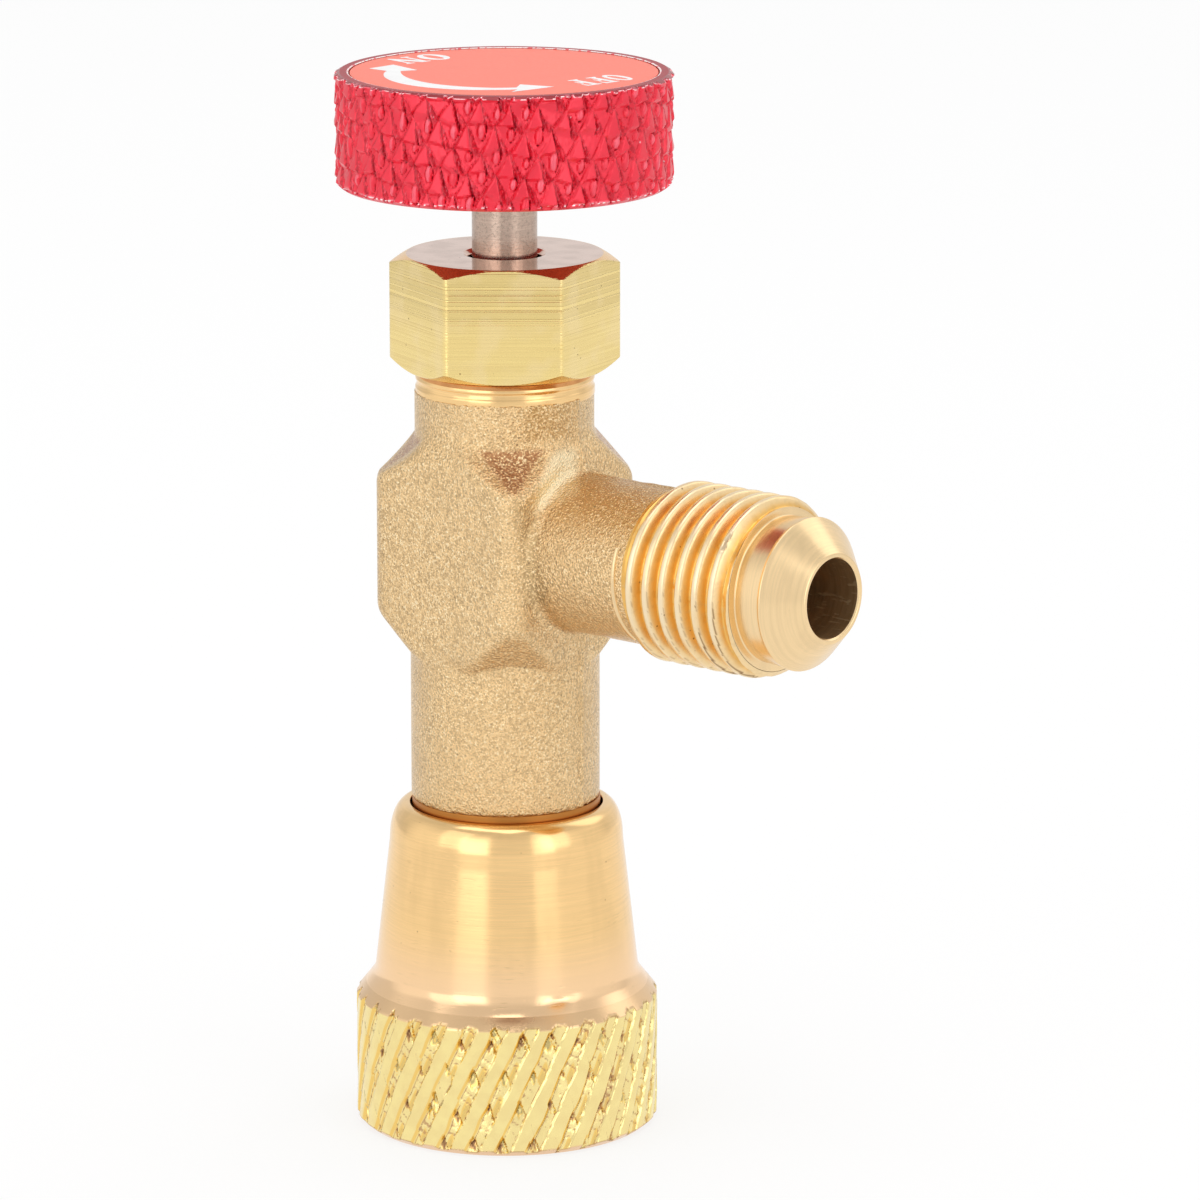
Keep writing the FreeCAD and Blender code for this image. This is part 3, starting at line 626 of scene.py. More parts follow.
class Skin:
    """Rings of points in millimetres, joined row to row into the surface of one piece."""

    def __init__(self):
        self.points = []
        self.faces = []
        self.finishes = []
        self.marks = {name: [] for name in MARKS}
        self.count = 0

    def put(self, points, marks=None):
        """Add rows of rings, an array of rows by columns by 3, and give back their numbers."""
        rows, columns = points.shape[:2]
        self.points.append(points.reshape(-1, 3))
        for name, plain in MARKS.items():
            values = (marks or {}).get(name, plain)
            self.marks[name].append(np.broadcast_to(values, (rows, columns)).reshape(-1))
        numbers = self.count + np.arange(rows * columns).reshape(rows, columns)
        self.count += rows * columns
        return numbers

    def add_faces(self, faces, finish):
        """Add faces by the numbers of their corners, with one finish for all or one for each."""
        self.faces.append(faces)
        self.finishes.append(np.broadcast_to(finish, len(faces)))

    def quads(self, low, high, finish):
        """Faces between rings or rows of rings, closed around."""
        corners = [low, np.roll(low, -1, axis=-1), np.roll(high, -1, axis=-1), high]
        self.add_faces(np.stack(corners, axis=-1).reshape(-1, 4), finish)

    def rows(self, points, finish=0, marks=None):
        """A whole band of rings; gives back its first and last ring."""
        numbers = self.put(points, marks)
        self.quads(numbers[:-1], numbers[1:], finish)
        return numbers[0], numbers[-1]

    def join(self, fine, coarse, finish, flip=False):
        """Close the gap between a fine ring and one with a whole fraction of its points."""
        ratio = len(fine) // len(coarse)
        triangles = []
        for place, here in enumerate(coarse):
            there = coarse[(place + 1) % len(coarse)]
            for step in range(ratio):
                first = fine[place * ratio + step]
                second = fine[(place * ratio + step + 1) % len(fine)]
                triangles.append((first, second, here if step < ratio / 2 else there))
            middle = fine[(place * ratio + math.ceil(ratio / 2)) % len(fine)]
            triangles.append((here, middle, there))
        faces = np.array(triangles)
        self.add_faces(faces[:, ::-1] if flip else faces, finish)

    def build(self, name, materials, sharp_deg):
        """Make the Blender object, with an edge sharp where its faces meet at more than an angle."""
        mesh = bpy.data.meshes.new(name)
        points = np.concatenate(self.points).astype(np.float32) * MM
        corners = np.concatenate([faces.reshape(-1) for faces in self.faces]).astype(np.int32)
        sides = np.concatenate([np.full(len(faces), faces.shape[1]) for faces in self.faces])
        starts = np.concatenate([[0], np.cumsum(sides)[:-1]]).astype(np.int32)
        mesh.vertices.add(len(points))
        mesh.vertices.foreach_set("co", points.reshape(-1))
        mesh.loops.add(len(corners))
        mesh.loops.foreach_set("vertex_index", corners)
        mesh.polygons.add(len(starts))
        mesh.polygons.foreach_set("loop_start", starts)
        mesh.polygons.foreach_set("loop_total", sides.astype(np.int32))
        for material in materials:
            mesh.materials.append(material)
        mesh.polygons.foreach_set("material_index", np.concatenate(self.finishes).astype(np.int32))
        for mark, kept in self.marks.items():
            values = np.concatenate(kept).astype(np.float32)
            if values.min() != values.max():
                mesh.attributes.new(mark, "FLOAT", "POINT").data.foreach_set("value", values)
        mesh.update(calc_edges=True)
        mesh.validate()
        mesh.shade_smooth()
        mesh.set_sharp_from_angle(angle=math.radians(sharp_deg))
        return add_object(name, mesh)


def add_object(name, data):
    """A new object in the scene."""
    thing = bpy.data.objects.new(name, data)
    bpy.context.collection.objects.link(thing)
    return thing


def softened(profile, radius, steps=4):
    """A profile of (r, z) corners with each one rounded, and its ends left as they are."""
    points = [profile[0]]
    for before, corner, after in zip(profile, profile[1:], profile[2:]):
        here = np.array(corner, float)
        back = np.array(before, float) - here
        ahead = np.array(after, float) - here
        cut = min(radius, np.linalg.norm(back) * 0.45, np.linalg.norm(ahead) * 0.45)
        start = here + back / np.linalg.norm(back) * cut
        end = here + ahead / np.linalg.norm(ahead) * cut
        for step in range(steps + 1):
            t = step / steps
            points.append(tuple((1 - t) ** 2 * start + 2 * t * (1 - t) * here + t ** 2 * end))
    points.append(profile[-1])
    return points


def divided(profile, step):
    """The same profile with no stretch longer than step."""
    points = [profile[0]]
    for start, end in zip(profile, profile[1:]):
        parts = max(1, math.ceil(math.dist(start, end) / step))
        for part in range(1, parts + 1):
            t = part / parts
            points.append(tuple(a + (b - a) * t for a, b in zip(start, end)))
    return points


def full_turn(columns, shift=0.0):
    """The angle of each column of a ring."""
    return 2 * np.pi * (np.arange(columns) + shift) / columns


def rings_round(turn, radius, along, on_port=False):
    """Rings about Z or about the flare port's axis, from radii and distances along that axis."""
    across, up = radius * np.cos(turn), radius * np.sin(turn)
    along = np.broadcast_to(along, across.shape)
    return np.stack([along, across, up + PORT_Z] if on_port else [across, up, along], axis=-1)


def spun(profile, columns, on_port=False):
    """Rings of a turned form with a profile of (r, z) or, on the port, (r, x)."""
    radius, along = np.array(profile, float).T[..., None]
    return rings_round(full_turn(columns), radius, along, on_port)


def ramp(value, start, run):
    """0 at start, 1 after the run, straight between."""
    return np.clip((value - start) / run, 0, 1)


def ridge(value, middle, width):
    """1 at the middle, 0 at the width on both sides, straight between."""
    return np.clip(1 - np.abs(value - middle) / width, 0, 1)


def speckle(rows, columns, row_size, column_size, seed):
    """Smooth random pattern from -1 to 1 on a grid that closes around."""
    random = np.random.default_rng(seed)
    high = max(2, int(round(rows / row_size)) + 2)
    wide = max(3, int(round(columns / column_size)))
    knots = random.uniform(-1, 1, (high, wide))
    y = np.linspace(0, high - 1.001, rows)
    x = np.arange(columns) * wide / columns
    y0, x0 = y.astype(int), x.astype(int)
    fy, fx = (y - y0)[:, None], (x - x0)[None, :]
    fy, fx = fy * fy * (3 - 2 * fy), fx * fx * (3 - 2 * fx)
    x1 = (x0 + 1) % wide
    y1 = np.minimum(y0 + 1, high - 1)
    low = knots[np.ix_(y0, x0)] * (1 - fx) + knots[np.ix_(y0, x1)] * fx
    top = knots[np.ix_(y1, x0)] * (1 - fx) + knots[np.ix_(y1, x1)] * fx
    return low * (1 - fy) + top * fy


# Forged body


def round_min(a, b, radius):
    """Union of two distances with a rounded inner corner."""
    mix = np.maximum(radius - np.abs(a - b), 0) / radius
    return np.minimum(a, b) - mix * mix * radius / 4


def round_max(a, b, radius):
    """Intersection of two distances with a rounded outer edge."""
    return -round_min(-a, -b, radius)


def slope(out, up, start, end):
    """Distance outside the line from start to end in the (out, up) plane, with metal on its inner side."""
    run, rise = end[0] - start[0], end[1] - start[1]
    size = math.hypot(run, rise)
    return ((out - start[0]) * rise - (up - start[1]) * run) / size


def hollowed(up, low, high, hollow):
    """How much a slope between two heights sags inward, most at its middle."""
    along = np.clip((up - low) / (high - low), 0, 1)
    return hollow * 4 * along * (1 - along)


def forging_distance(x, y, z, sizes):
    """Signed distance to the forged tee's skin, negative inside the metal."""
    edge, root = sizes["edge_round"], sizes["root_round"]
    foot, top = sizes["block_foot"], sizes["block_top"]
    barrel_r, neck_r, half = sizes["barrel_radius"], sizes["neck_radius"], sizes["half_flat"]
    barrel_foot, neck_ring_height = sizes["barrel_foot"], 1.25
    radius = np.hypot(x, y)
    barrel_edge = slope(radius, z, (barrel_r - 0.08, barrel_foot), (barrel_r, barrel_foot + 0.2))
    barrel = round_max(radius - barrel_r, barrel_edge, 0.1)
    barrel = np.maximum(np.maximum(barrel, barrel_foot - z), z - foot - 6)
    neck = np.maximum(radius - neck_r, np.maximum(z - NECK_TOP_Z + neck_ring_height, top - 6 - z))

    flat = round_max(np.abs(x), np.abs(y), 0.2)
    upper = slope(flat, z, (half, top - 1.0), (neck_r - 0.3, top + 0.35))
    lower = slope(flat, z, (barrel_r - 0.1, foot - 0.05), (half, foot + 0.6))
    sides = round_max(round_max(flat - half, upper, edge), lower, 0.3)
    corner = np.maximum(np.abs(x + y), np.abs(x - y)) / math.sqrt(2)
    far = sizes["corner_reach"]
    hollow = hollowed(z, top - 2.6, top + 0.6, 0.36) * np.clip(1.4 - (x + y) / 5, 0, 1)
    shoulder = slope(corner, z, (far, top - 2.75), (5.3, top + 0.15)) + hollow
    underside = slope(corner, z, (5.65, foot), (far, foot + 2.7))
    cut = round_max(round_max(corner - far, shoulder, 0.35), underside, 0.35)
    block = round_max(sides, cut, edge * 0.75)

    across = np.hypot(y, z - PORT_Z)
    port_end, piston_foot = 13.75, 20.0
    port = np.maximum(across - sizes["port_radius"], np.maximum(x - port_end, -x))
    solid = round_min(block, barrel, 0.08)
    solid = round_min(solid, neck, 0.25)
    solid = round_min(solid, port, root)
    seam_y = y - 0.5
    waver = 1 + 0.45 * np.sin(z * 1.9 + x * 1.3) + 0.25 * np.sin(z * 5.1 - x * 4.3)
    solid = solid - sizes["seam_height"] * waver * np.exp(-((seam_y / 0.18) ** 2))
    solid = solid + 0.09 * np.clip(seam_y / 0.25, 0, 1)

    bore = np.maximum(across - PORT_BORE_R, -x)
    lower_bore = np.where(z > piston_foot, PISTON_BORE_R, FOOT_BORE_R)
    main = radius - np.where(z > SHANK_FOOT_Z, SEAT_R, lower_bore)
    return np.maximum(solid, -np.minimum(bore, main))


def surface_net(distance, low, high, step):
    """Quads over the places where a distance field changes sign, each vertex moved on to the surface."""
    axes = [np.arange(a, b, step) for a, b in zip(low, high)]
    grid = np.meshgrid(*axes, indexing="ij")
    field = distance(*grid)
    inside = field < 0
    shape = np.array(field.shape) - 1
    total = np.zeros((*shape, 3))
    hits = np.zeros(shape)
    for axis in range(3):
        others = [k for k in range(3) if k != axis]
        start = [slice(None)] * 3
        end = [slice(None)] * 3
        start[axis], end[axis] = slice(None, -1), slice(1, None)
        a, b = field[tuple(start)], field[tuple(end)]
        crosses = (a < 0) != (b < 0)
        share_along = np.where(crosses, a / np.where(crosses, a - b, 1), 0)
        for first in (0, 1):
            for second in (0, 1):
                window = [slice(None)] * 3
                window[others[0]] = slice(first, first + shape[others[0]])
                window[others[1]] = slice(second, second + shape[others[1]])
                hit = crosses[tuple(window)]
                total[..., axis] += np.where(hit, share_along[tuple(window)], 0)
                total[..., others[0]] += hit * first
                total[..., others[1]] += hit * second
                hits += hit
    cells = hits > 0
    number = np.full(shape, -1)
    number[cells] = np.arange(cells.sum())
    corner = np.argwhere(cells)
    points = (corner + total[cells] / hits[cells][:, None]) * step + np.array(low)

    quads = []
    for axis in range(3):
        u, v = [(1, 2), (2, 0), (0, 1)][axis]
        start = [slice(1, -1)] * 3
        end = [slice(1, -1)] * 3
        start[axis], end[axis] = slice(0, -1), slice(1, None)
        a, b = inside[tuple(start)], inside[tuple(end)]
        for leaving in (True, False):
            place = np.argwhere((a & ~b) if leaving else (~a & b))
            if not len(place):
                continue
            place[:, u] += 1
            place[:, v] += 1
            ring = []
            for du, dv in ((1, 1), (0, 1), (0, 0), (1, 0)):
                cell = place.copy()
                cell[:, u] -= du
                cell[:, v] -= dv
                ring.append(number[tuple(cell.T)])
            ring = np.stack(ring, axis=1)
            quads.append(ring if leaving else ring[:, ::-1])
    quads = np.concatenate(quads)

    small = step * 0.05
    for _ in range(3):
        value = distance(*points.T)
        slopes = []
        for axis in range(3):
            moved = points.copy()
            moved[:, axis] += small
            slopes.append((distance(*moved.T) - value) / small)
        slopes = np.stack(slopes, axis=1)
        size = np.maximum((slopes ** 2).sum(axis=1), 0.25)
        shift = -(value / size)[:, None] * slopes
        limit = step * 0.5
        points = points + np.clip(shift, -limit, limit)
    return points, quads


def in_millimetres(group):
    """The lengths of a sidebar group by name, in millimetres."""
    names = [name for name in group.__annotations__ if not name.endswith("_count")]
    return {name: getattr(group, name) / MM for name in names}


def add_neck_ring(skin, sizes, finish):
    """Turned ring at the neck's top, with its rounded rim and the chamfered seat of the seal ring."""
    radius = sizes["neck_radius"]
    top = NECK_TOP_Z
    outer = softened([
        (SEAT_R, top - 1.5),
        (radius - 0.05, top - 1.5),
        (radius - 0.05, top - 0.98),
        (radius - 0.13, top - 0.86),
        (radius - 0.15, top - 0.6),
        (radius - 0.05, top - 0.5),
        (radius - 0.08, top - 0.3),
        (radius - 0.3, top - 0.06),
        (radius - 0.5, top),
        (5.0, top),
        (SEAT_R, top - 0.65),
        (SEAT_R, top - 1.5),
    ], 0.12)
    skin.rows(spun(divided(outer, 0.3), 224), finish)


def add_tail(skin, finish, gap_shade):
    """Turned tail inside the nut, with the ring groove, gasket seat and bore, darkened under the barrel as
    painted shade in the gap above the nut.
    """
    groove_foot, groove_top = GROOVE_Z
    profile = np.array(divided(softened([
        (4.0, 9.5),
        (5.46, 9.5),
        (TAIL_R, 9.8),
        (TAIL_R, groove_foot),
        (TAIL_R - GROOVE_DEPTH, groove_foot),
        (TAIL_R - GROOVE_DEPTH, groove_top),
        (TAIL_R, groove_top),
        (TAIL_R, 20.0),
        (5.84, 20.1),
        (5.84, 20.72),
        (4.0, 20.78),
        (FOOT_BORE_R, 20.78),
        (FOOT_BORE_R, 10.9),
        (4.0, 10.9),
        (4.0, 9.5),
    ], 0.05), 0.6))
    rings = spun(profile, 192)
    z = profile[:, 1]
    # Painted shade: the rings under the barrel's foot take the darkened finish
    under_barrel = np.minimum(z[:-1], z[1:]) > 19.9
    skin.rows(rings, np.repeat(np.where(under_barrel, gap_shade, finish), rings.shape[1]))


def thread_band(flare, turn, start, end, root):
    """Rings and marks of the flare thread: a helix between its run-out groove and the nose's chamfer."""
    rows = 190
    x = np.linspace(start - 0.12, end, rows)[:, None]
    rough = speckle(rows, len(turn), 3, 4, 3)
    slow = speckle(rows, len(turn), 12, 20, 4)
    crest, pitch = flare["crest_radius"], flare["thread_pitch"]
    facing = math.radians(200)
    phase = (x - flare["first_crest"]) / pitch + (turn - facing) / (2 * np.pi)
    past_crest = ((phase + 0.5) % 1.0 - 0.5) * pitch
    off_crest = np.abs(past_crest)
    flank = ramp(off_crest, 0.17, 0.33)
    groove = flank * flank * (3 - 2 * flank) * 0.5 + flank * 0.5
    groove = groove + 0.05 * np.clip(off_crest / 0.17, 0, 1) ** 2
    radius = crest - flare["thread_depth"] * groove / 1.05
    fade = ramp(x, start + 0.02, 0.5)
    radius = root + (radius - root) * fade
    forged_end = np.where(x < start - 0.02, 4.9, root + 0.02)
    radius = np.where(x < start + 0.03, forged_end, radius)
    chamfer = crest + 0.01 - np.maximum(0, x - (end - 0.62)) ** 1.3 * 1.05
    cut = radius > chamfer
    radius = np.minimum(radius, chamfer) + (rough * 0.008 + slow * 0.01) * np.clip((end - x) / 0.3, 0, 1)
    depth = np.clip((radius - root) / (crest - root), 0, 1)

    low_front = ridge(turn, math.radians(222), 0.75)
    high_front = ridge(turn, math.radians(140), 0.8)
    right_line = np.abs(past_crest - 0.2 - 0.04 * slow) < 0.024
    left_line = np.abs(past_crest + 0.2) < 0.022
    # Painted shadow: thin dark lines beside the crests' burrs, carried in the torn mark
    burr_shadows = np.maximum.reduce([
        right_line * (x > end - 2.9) * (low_front > 0.1) * (slow > -0.5),
        (np.abs(past_crest - 0.21) < 0.02) * (low_front > 0.02) * (rough > -0.1) * 0.45,
        left_line * (slow + 0.4 * rough > -0.55) * 0.42,
        left_line * (high_front > 0.05) * (rough > -0.2) * 0.6,
    ])
    chip = (np.abs(past_crest - 0.08) < 0.13) * (np.abs(x - (end - 1.05)) < 0.45)
    chip = chip * (np.abs(turn - math.radians(140)) < 0.11) * (rough > -0.4)
    # Painted highlight: a bright band along each crest, carried in the highlight mark
    crest_highlight = np.clip((0.26 - np.abs(past_crest + 0.03)) / 0.1, 0, 1) * (~cut) * fade * (0.75 + 0.5 * slow)
    marks = {
        "depth": np.where(cut, 1.0, depth),
        "torn": np.clip(burr_shadows + chip * 0.5, 0, 1) * (~cut),
        "bare_and_highlight": np.clip(crest_highlight, 0, 1),
    }
    return radius - 0.08 * chip, x, marks


def add_flare_end(skin, flare, turned, threaded, bored):
    """Turned end of the flare port: thread, nose, cone, rim and bore, and the skimmed ring behind them."""
    columns = 256
    turn = full_turn(columns)
    start, tip = flare["thread_start"], PORT_TIP_X
    ridge_r, rim_r, bore_r = flare["ridge_radius"], flare["rim_radius"], flare["bore_radius"]
    ridge_x = tip - (ridge_r - rim_r)
    end = ridge_x - flare["nose_length"]
    root = flare["crest_radius"] - flare["thread_depth"]
    radius, x, marks = thread_band(flare, turn, start, end, root)
    skin.rows(rings_round(turn, radius, x, True), threaded, marks)

    face_edge = float(radius[-1].mean())
    nose_r = flare["nose_radius"]
    nose = [(face_edge, end)] + softened([
        (face_edge - 0.03, end + 0.01),
        (nose_r + 0.02, end + 0.03),
        (nose_r - 0.05, end + 0.08),
        (nose_r + 0.05, ridge_x - 0.22),
        (ridge_r, ridge_x - 0.07),
        (ridge_r, ridge_x),
        (rim_r + 0.03, tip - 0.03),
        (rim_r - 0.04, tip),
        (bore_r + 0.1, tip),
        (bore_r, tip - 0.12),
    ], 0.045)
    skin.rows(spun(divided(nose, 0.3), columns, True), turned)
    wide_end, narrow_end, narrow_r = 19.85, 12.0, 2.0
    hole = [
        (bore_r, tip - 0.12),
        (bore_r, wide_end),
        (narrow_r, wide_end),
        (narrow_r, narrow_end),
        (root - 0.3, narrow_end),
        (root - 0.3, end - 0.2),
    ]
    skin.rows(spun(divided(hole, 0.8), columns, True), bored)

    skim = np.clip(1 - np.abs((turn - math.radians(196)) / 0.7) ** 6, 0, 1)
    edge_r, full_r, sunk_r = 4.8, 4.97, 4.76
    profile = np.array([
        (edge_r, 12.62), (4.93, 12.67), (full_r, 12.73), (full_r, 12.87), (4.93, 12.93), (edge_r, 12.98),
    ])
    skim_radius = sunk_r + (profile[:, :1] - sunk_r) * (skim > 0.02) * (0.8 + 0.2 * skim)
    skin.rows(rings_round(turn, skim_radius, profile[:, 1:], True), turned, {"bare_and_highlight": 1.0})


# Knurls


class KnurledPiece:
    """What the knurled nut and knob share: their sizes, ring counts and two crossed sets of grooves.

    A set is its number of grooves round the drum, the height in which one moves on by a whole groove, and
    its start. The two sets need not have the same number.
    """

    def __init__(self, group):
        self.sizes = in_millimetres(group)
        self.rising = (group.rising_count, self.sizes["rising_height"], self.starts[0])
        self.falling = (group.falling_count, self.sizes["falling_height"], self.starts[1])

    def cells(self, levels, wander):
        """Place of every point across the rising and falling grooves, and two random numbers per cell."""
        around = np.arange(self.fine)[None, :] / self.fine
        up = np.array(levels)[:, None]
        rising = around * self.rising[0] - up / self.rising[1] + self.rising[2] + wander
        falling = around * self.falling[0] + up / self.falling[1] + self.falling[2] - wander
        i, j = np.floor(rising).astype(int), np.floor(falling).astype(int)
        tables = np.random.default_rng(self.seed).uniform(-1, 1, (2, CELL_NUMBERS))
        cell = (i * self.falling[0] - j * self.rising[0]) % CELL_NUMBERS
        return rising - i, falling - j, tables[0][cell], tables[1][cell]


class SwivelNutMaker(KnurledPiece):
    """Steps of the swivel nut's mesh."""

    fine, coarse, seed = 880, 176, 11
    starts = (0.231, 0.35)

    def relief(self, levels):
        """Height of the knurl from 0 to 1, how torn it is, and how deep it looks, from which the finish
        paints shade.

        Broad bands rise to the right, each with a steep flank on its right side. Falling cuts split the
        strips between them into leaves that end in small pits. u runs across a band and its strip, and tilt
        along a leaf.
        """
        rough = speckle(len(levels), self.fine, 1.6, 2, 12)
        waves = speckle(len(levels), self.fine, 9, 22, 13)
        u, v, luck, other = self.cells(levels, waves * 0.04)
        border = 0.5 + 0.06 * luck + 0.08 * waves
        band = 0.98 - 0.05 * np.abs(u - 0.3) + 0.008 * np.sin(u * 47 + 3 * luck)
        band = np.minimum(band, 0.62 + u * 7)
        flank = ramp(u, border, 0.13)
        across = ramp(u - border, 0.13, 0.87 - border)
        tilt = (v + 0.2 * other) % 1.0
        leaf = np.minimum(0.62 + 0.26 * across - 0.34 * tilt ** 2, 0.3 + 9 * tilt)
        in_strip = flank > 0.9
        pit = ramp(tilt, 0.74 + 0.1 * luck, 0.08) * ramp(0.6 - across + 0.3 * rough, 0, 0.25) * in_strip
        on_leaf = in_strip * (rough + other > -0.4) * 0.9
        edge = np.maximum.reduce([
            ridge(u - border, 0.15, 0.035) * (rough + 0.5 * luck > -0.45),
            ridge(u, 0.02, 0.03) * (rough + 0.6 * luck > 0.0) * 0.8,
            ridge(tilt - 0.3 - 0.25 * across, 0.1 * luck, 0.05) * on_leaf,
            ridge(tilt - 0.52 - 0.25 * across, 0.1 * luck, 0.05) * on_leaf,
            ridge(u, 0.975, 0.03) * (rough - 0.5 * other > -0.3) * 0.9,
            ridge(tilt, 0.02, 0.05) * in_strip * (rough > -0.5) * 0.8,
        ])
        nick = ridge(tilt, 0.03, 0.04) * np.clip((luck - 0.2) * 3, 0, 1) * (u > 0.3) * ~in_strip
        scar = np.clip(other * 8 - 6.8, 0, 1) * in_strip
        torn = np.clip(edge * 0.75 + pit * 0.9 * (luck > -0.3) + nick * 0.5 + scar * 0.5, 0, 1)
        grey = ramp(across, 0.35, 0.3) * ramp(0.62 - tilt, 0, 0.2) * (other > -0.3) * in_strip
        # How deep it looks, which the finish turns into painted shade on the flanks and a darker colour in
        # the pits and grey patches
        depth = np.where(flank > 0, 1 - 0.55 * np.sin(np.pi * flank) * (1 - 0.5 * in_strip), 1.0)
        depth = depth - np.maximum(pit * 0.9, grey * 0.62)
        dug = 0.12 * pit + 0.1 * edge + 0.08 * nick + 0.1 * grey
        height = band * (1 - flank) + leaf * flank - dug + (pit + scar) * rough * 0.1 + waves * 0.03
        return np.clip(height, -0.1, 1.03), torn, np.clip(depth, 0, 1)

    def grip(self, skin, finish):
        """The knurled grip from its bottom chamfer to its top one."""
        full, knurl_top = self.sizes["knurl_radius"], self.sizes["knurl_height"]
        levels = np.concatenate([
            np.arange(0.0, 0.36, 0.06),
            np.arange(0.36, knurl_top - 0.3, 0.122),
            np.linspace(knurl_top - 0.25, knurl_top + 0.8, 11),
        ])
        height, torn, depth = self.relief(levels)
        z = levels[:, None]
        radius = full - self.sizes["knurl_depth"] * (1 - height)
        foot = full - 0.42 + z * 1.15
        top = full + 0.03 - np.maximum(0, z - knurl_top) * 0.8
        limit = np.minimum(foot, top)
        cut = radius > limit - 0.005
        radius = np.minimum(radius, limit)
        turn = full_turn(self.fine)
        rim = (np.abs(radius - limit) < 0.06) * (np.abs(z - 4.2) > 3.8) * 0.6
        stain = np.exp(-(((turn - math.radians(313)) * 5.5) ** 2)) * ramp(z, 8.1, 0.5)
        return skin.rows(rings_round(turn, radius, z), finish, {
            "depth": np.where(cut, 1, depth),
            "torn": np.where(cut, stain * 0.6, np.clip(np.maximum(torn, rim), 0, 1)),
            "bare_and_highlight": cut * np.where(z < 1, 1.0, 0.85),
        })

    def cone_profile(self):
        """From the knurl's top edge over the waist and the polished cone to the rounded mouth."""
        s = self.sizes
        top, crown_height = NUT_TOP_Z, 2.15
        waist_z = s["knurl_height"] + 0.8
        shape = softened([
            (s["knurl_radius"] - 0.61, waist_z),
            (s["waist_radius"] + 0.13, s["knurl_height"] + 1.42),
            (s["waist_radius"], s["knurl_height"] + 1.78),
            (s["crown_radius"] + 0.03, top - 2.5),
        ], 0.22, 5)
        crown = []
        crown_steps = 14
        for part in range(1, crown_steps + 1):
            angle = math.radians(5 + 85 * part / crown_steps)
            crown.append((
                s["mouth_radius"] + (s["crown_radius"] - s["mouth_radius"]) * math.cos(angle) ** 0.9,
                top - crown_height + crown_height * math.sin(angle),
            ))
        groove_foot, groove_top = GROOVE_Z
        inner = softened([
            crown[-1],
            (NUT_BORE_R + 0.05, top),
            (NUT_BORE_R, top - 0.1),
            (NUT_BORE_R, groove_top),
            (6.36, groove_top),
            (6.36, groove_foot),
            (NUT_BORE_R, groove_foot),
            (NUT_BORE_R, 9.0),
            (5.4, 9.0),
        ], 0.04)
        return divided(shape, 0.36) + crown + divided(inner, 1.2)[1:]

    def cone(self, skin, finish):
        """Cone and mouth, with dents and dark marks, most of them at the waist.

        Each mark has its compass angle, height, half width and half height, how deep it is and how dark.
        """
        rings = spun(self.cone_profile(), self.coarse)
        radius = np.hypot(rings[..., 0], rings[..., 1])
        turn = np.arctan2(rings[..., 1], rings[..., 0])
        level = rings[..., 2]
        knurl_top = self.sizes["knurl_height"]
        torn = 0.0
        for compass, height, half_width, half_height, depth, shade in (
            (-49.0, knurl_top + 1.0, 1.0, 0.2, 0.09, 1.0),
            (-44.0, knurl_top + 0.8, 2.0, 0.4, 0.0, 0.55),
            (-26.0, knurl_top + 1.5, 0.6, 0.22, 0.07, 0.5),
            (-84.0, knurl_top + 6.4, 0.5, 0.08, 0.03, 0.5),
        ):
            across = (turn - math.radians(compass)) * radius / half_width
            dent = np.exp(-(across ** 2) - ((level - height) / half_height) ** 2) * (radius > 6.6)
            rings[..., :2] *= (1 - depth * dent / radius)[..., None]
            torn = torn + shade * dent
        return skin.rows(rings, finish, {"torn": np.clip(torn, 0, 1)})

    def inner_thread(self, skin, finish):
        """Female thread for the service port, from the gasket's room down to the nut's bottom."""
        turn = full_turn(self.coarse)
        z = np.linspace(8.95, 0.0, 72)[:, None]
        phase = z / THREAD_PITCH - turn / (2 * np.pi)
        wave = 0.5 + 0.5 * np.cos(2 * np.pi * phase)
        radius = SERVICE_R + 0.6 * np.clip(wave * 1.2, 0, 1) * np.clip((8.6 - z) / 0.5, 0, 1)
        radius = np.maximum(radius, SERVICE_R + np.clip(0.65 - z, 0, 1))
        return skin.rows(rings_round(turn, radius, z), finish)

    def make(self, materials):
        skin = Skin()
        foot, top = self.grip(skin, 0)
        cone_foot, cone_end = self.cone(skin, 1)
        skin.join(top, cone_foot, 1, True)
        thread_top, thread_foot = self.inner_thread(skin, 1)
        skin.quads(cone_end, thread_top, 1)
        base = softened([(self.sizes["knurl_radius"] - 0.52, 0.0), (5.75, 0.0)], 0.1)
        rim, inner = skin.rows(spun(divided(base, 0.8), self.coarse), 1)
        skin.join(foot, rim, 1)
        skin.quads(inner, thread_foot, 1)
        return skin.build("swivel_nut_knurled", materials, 34)


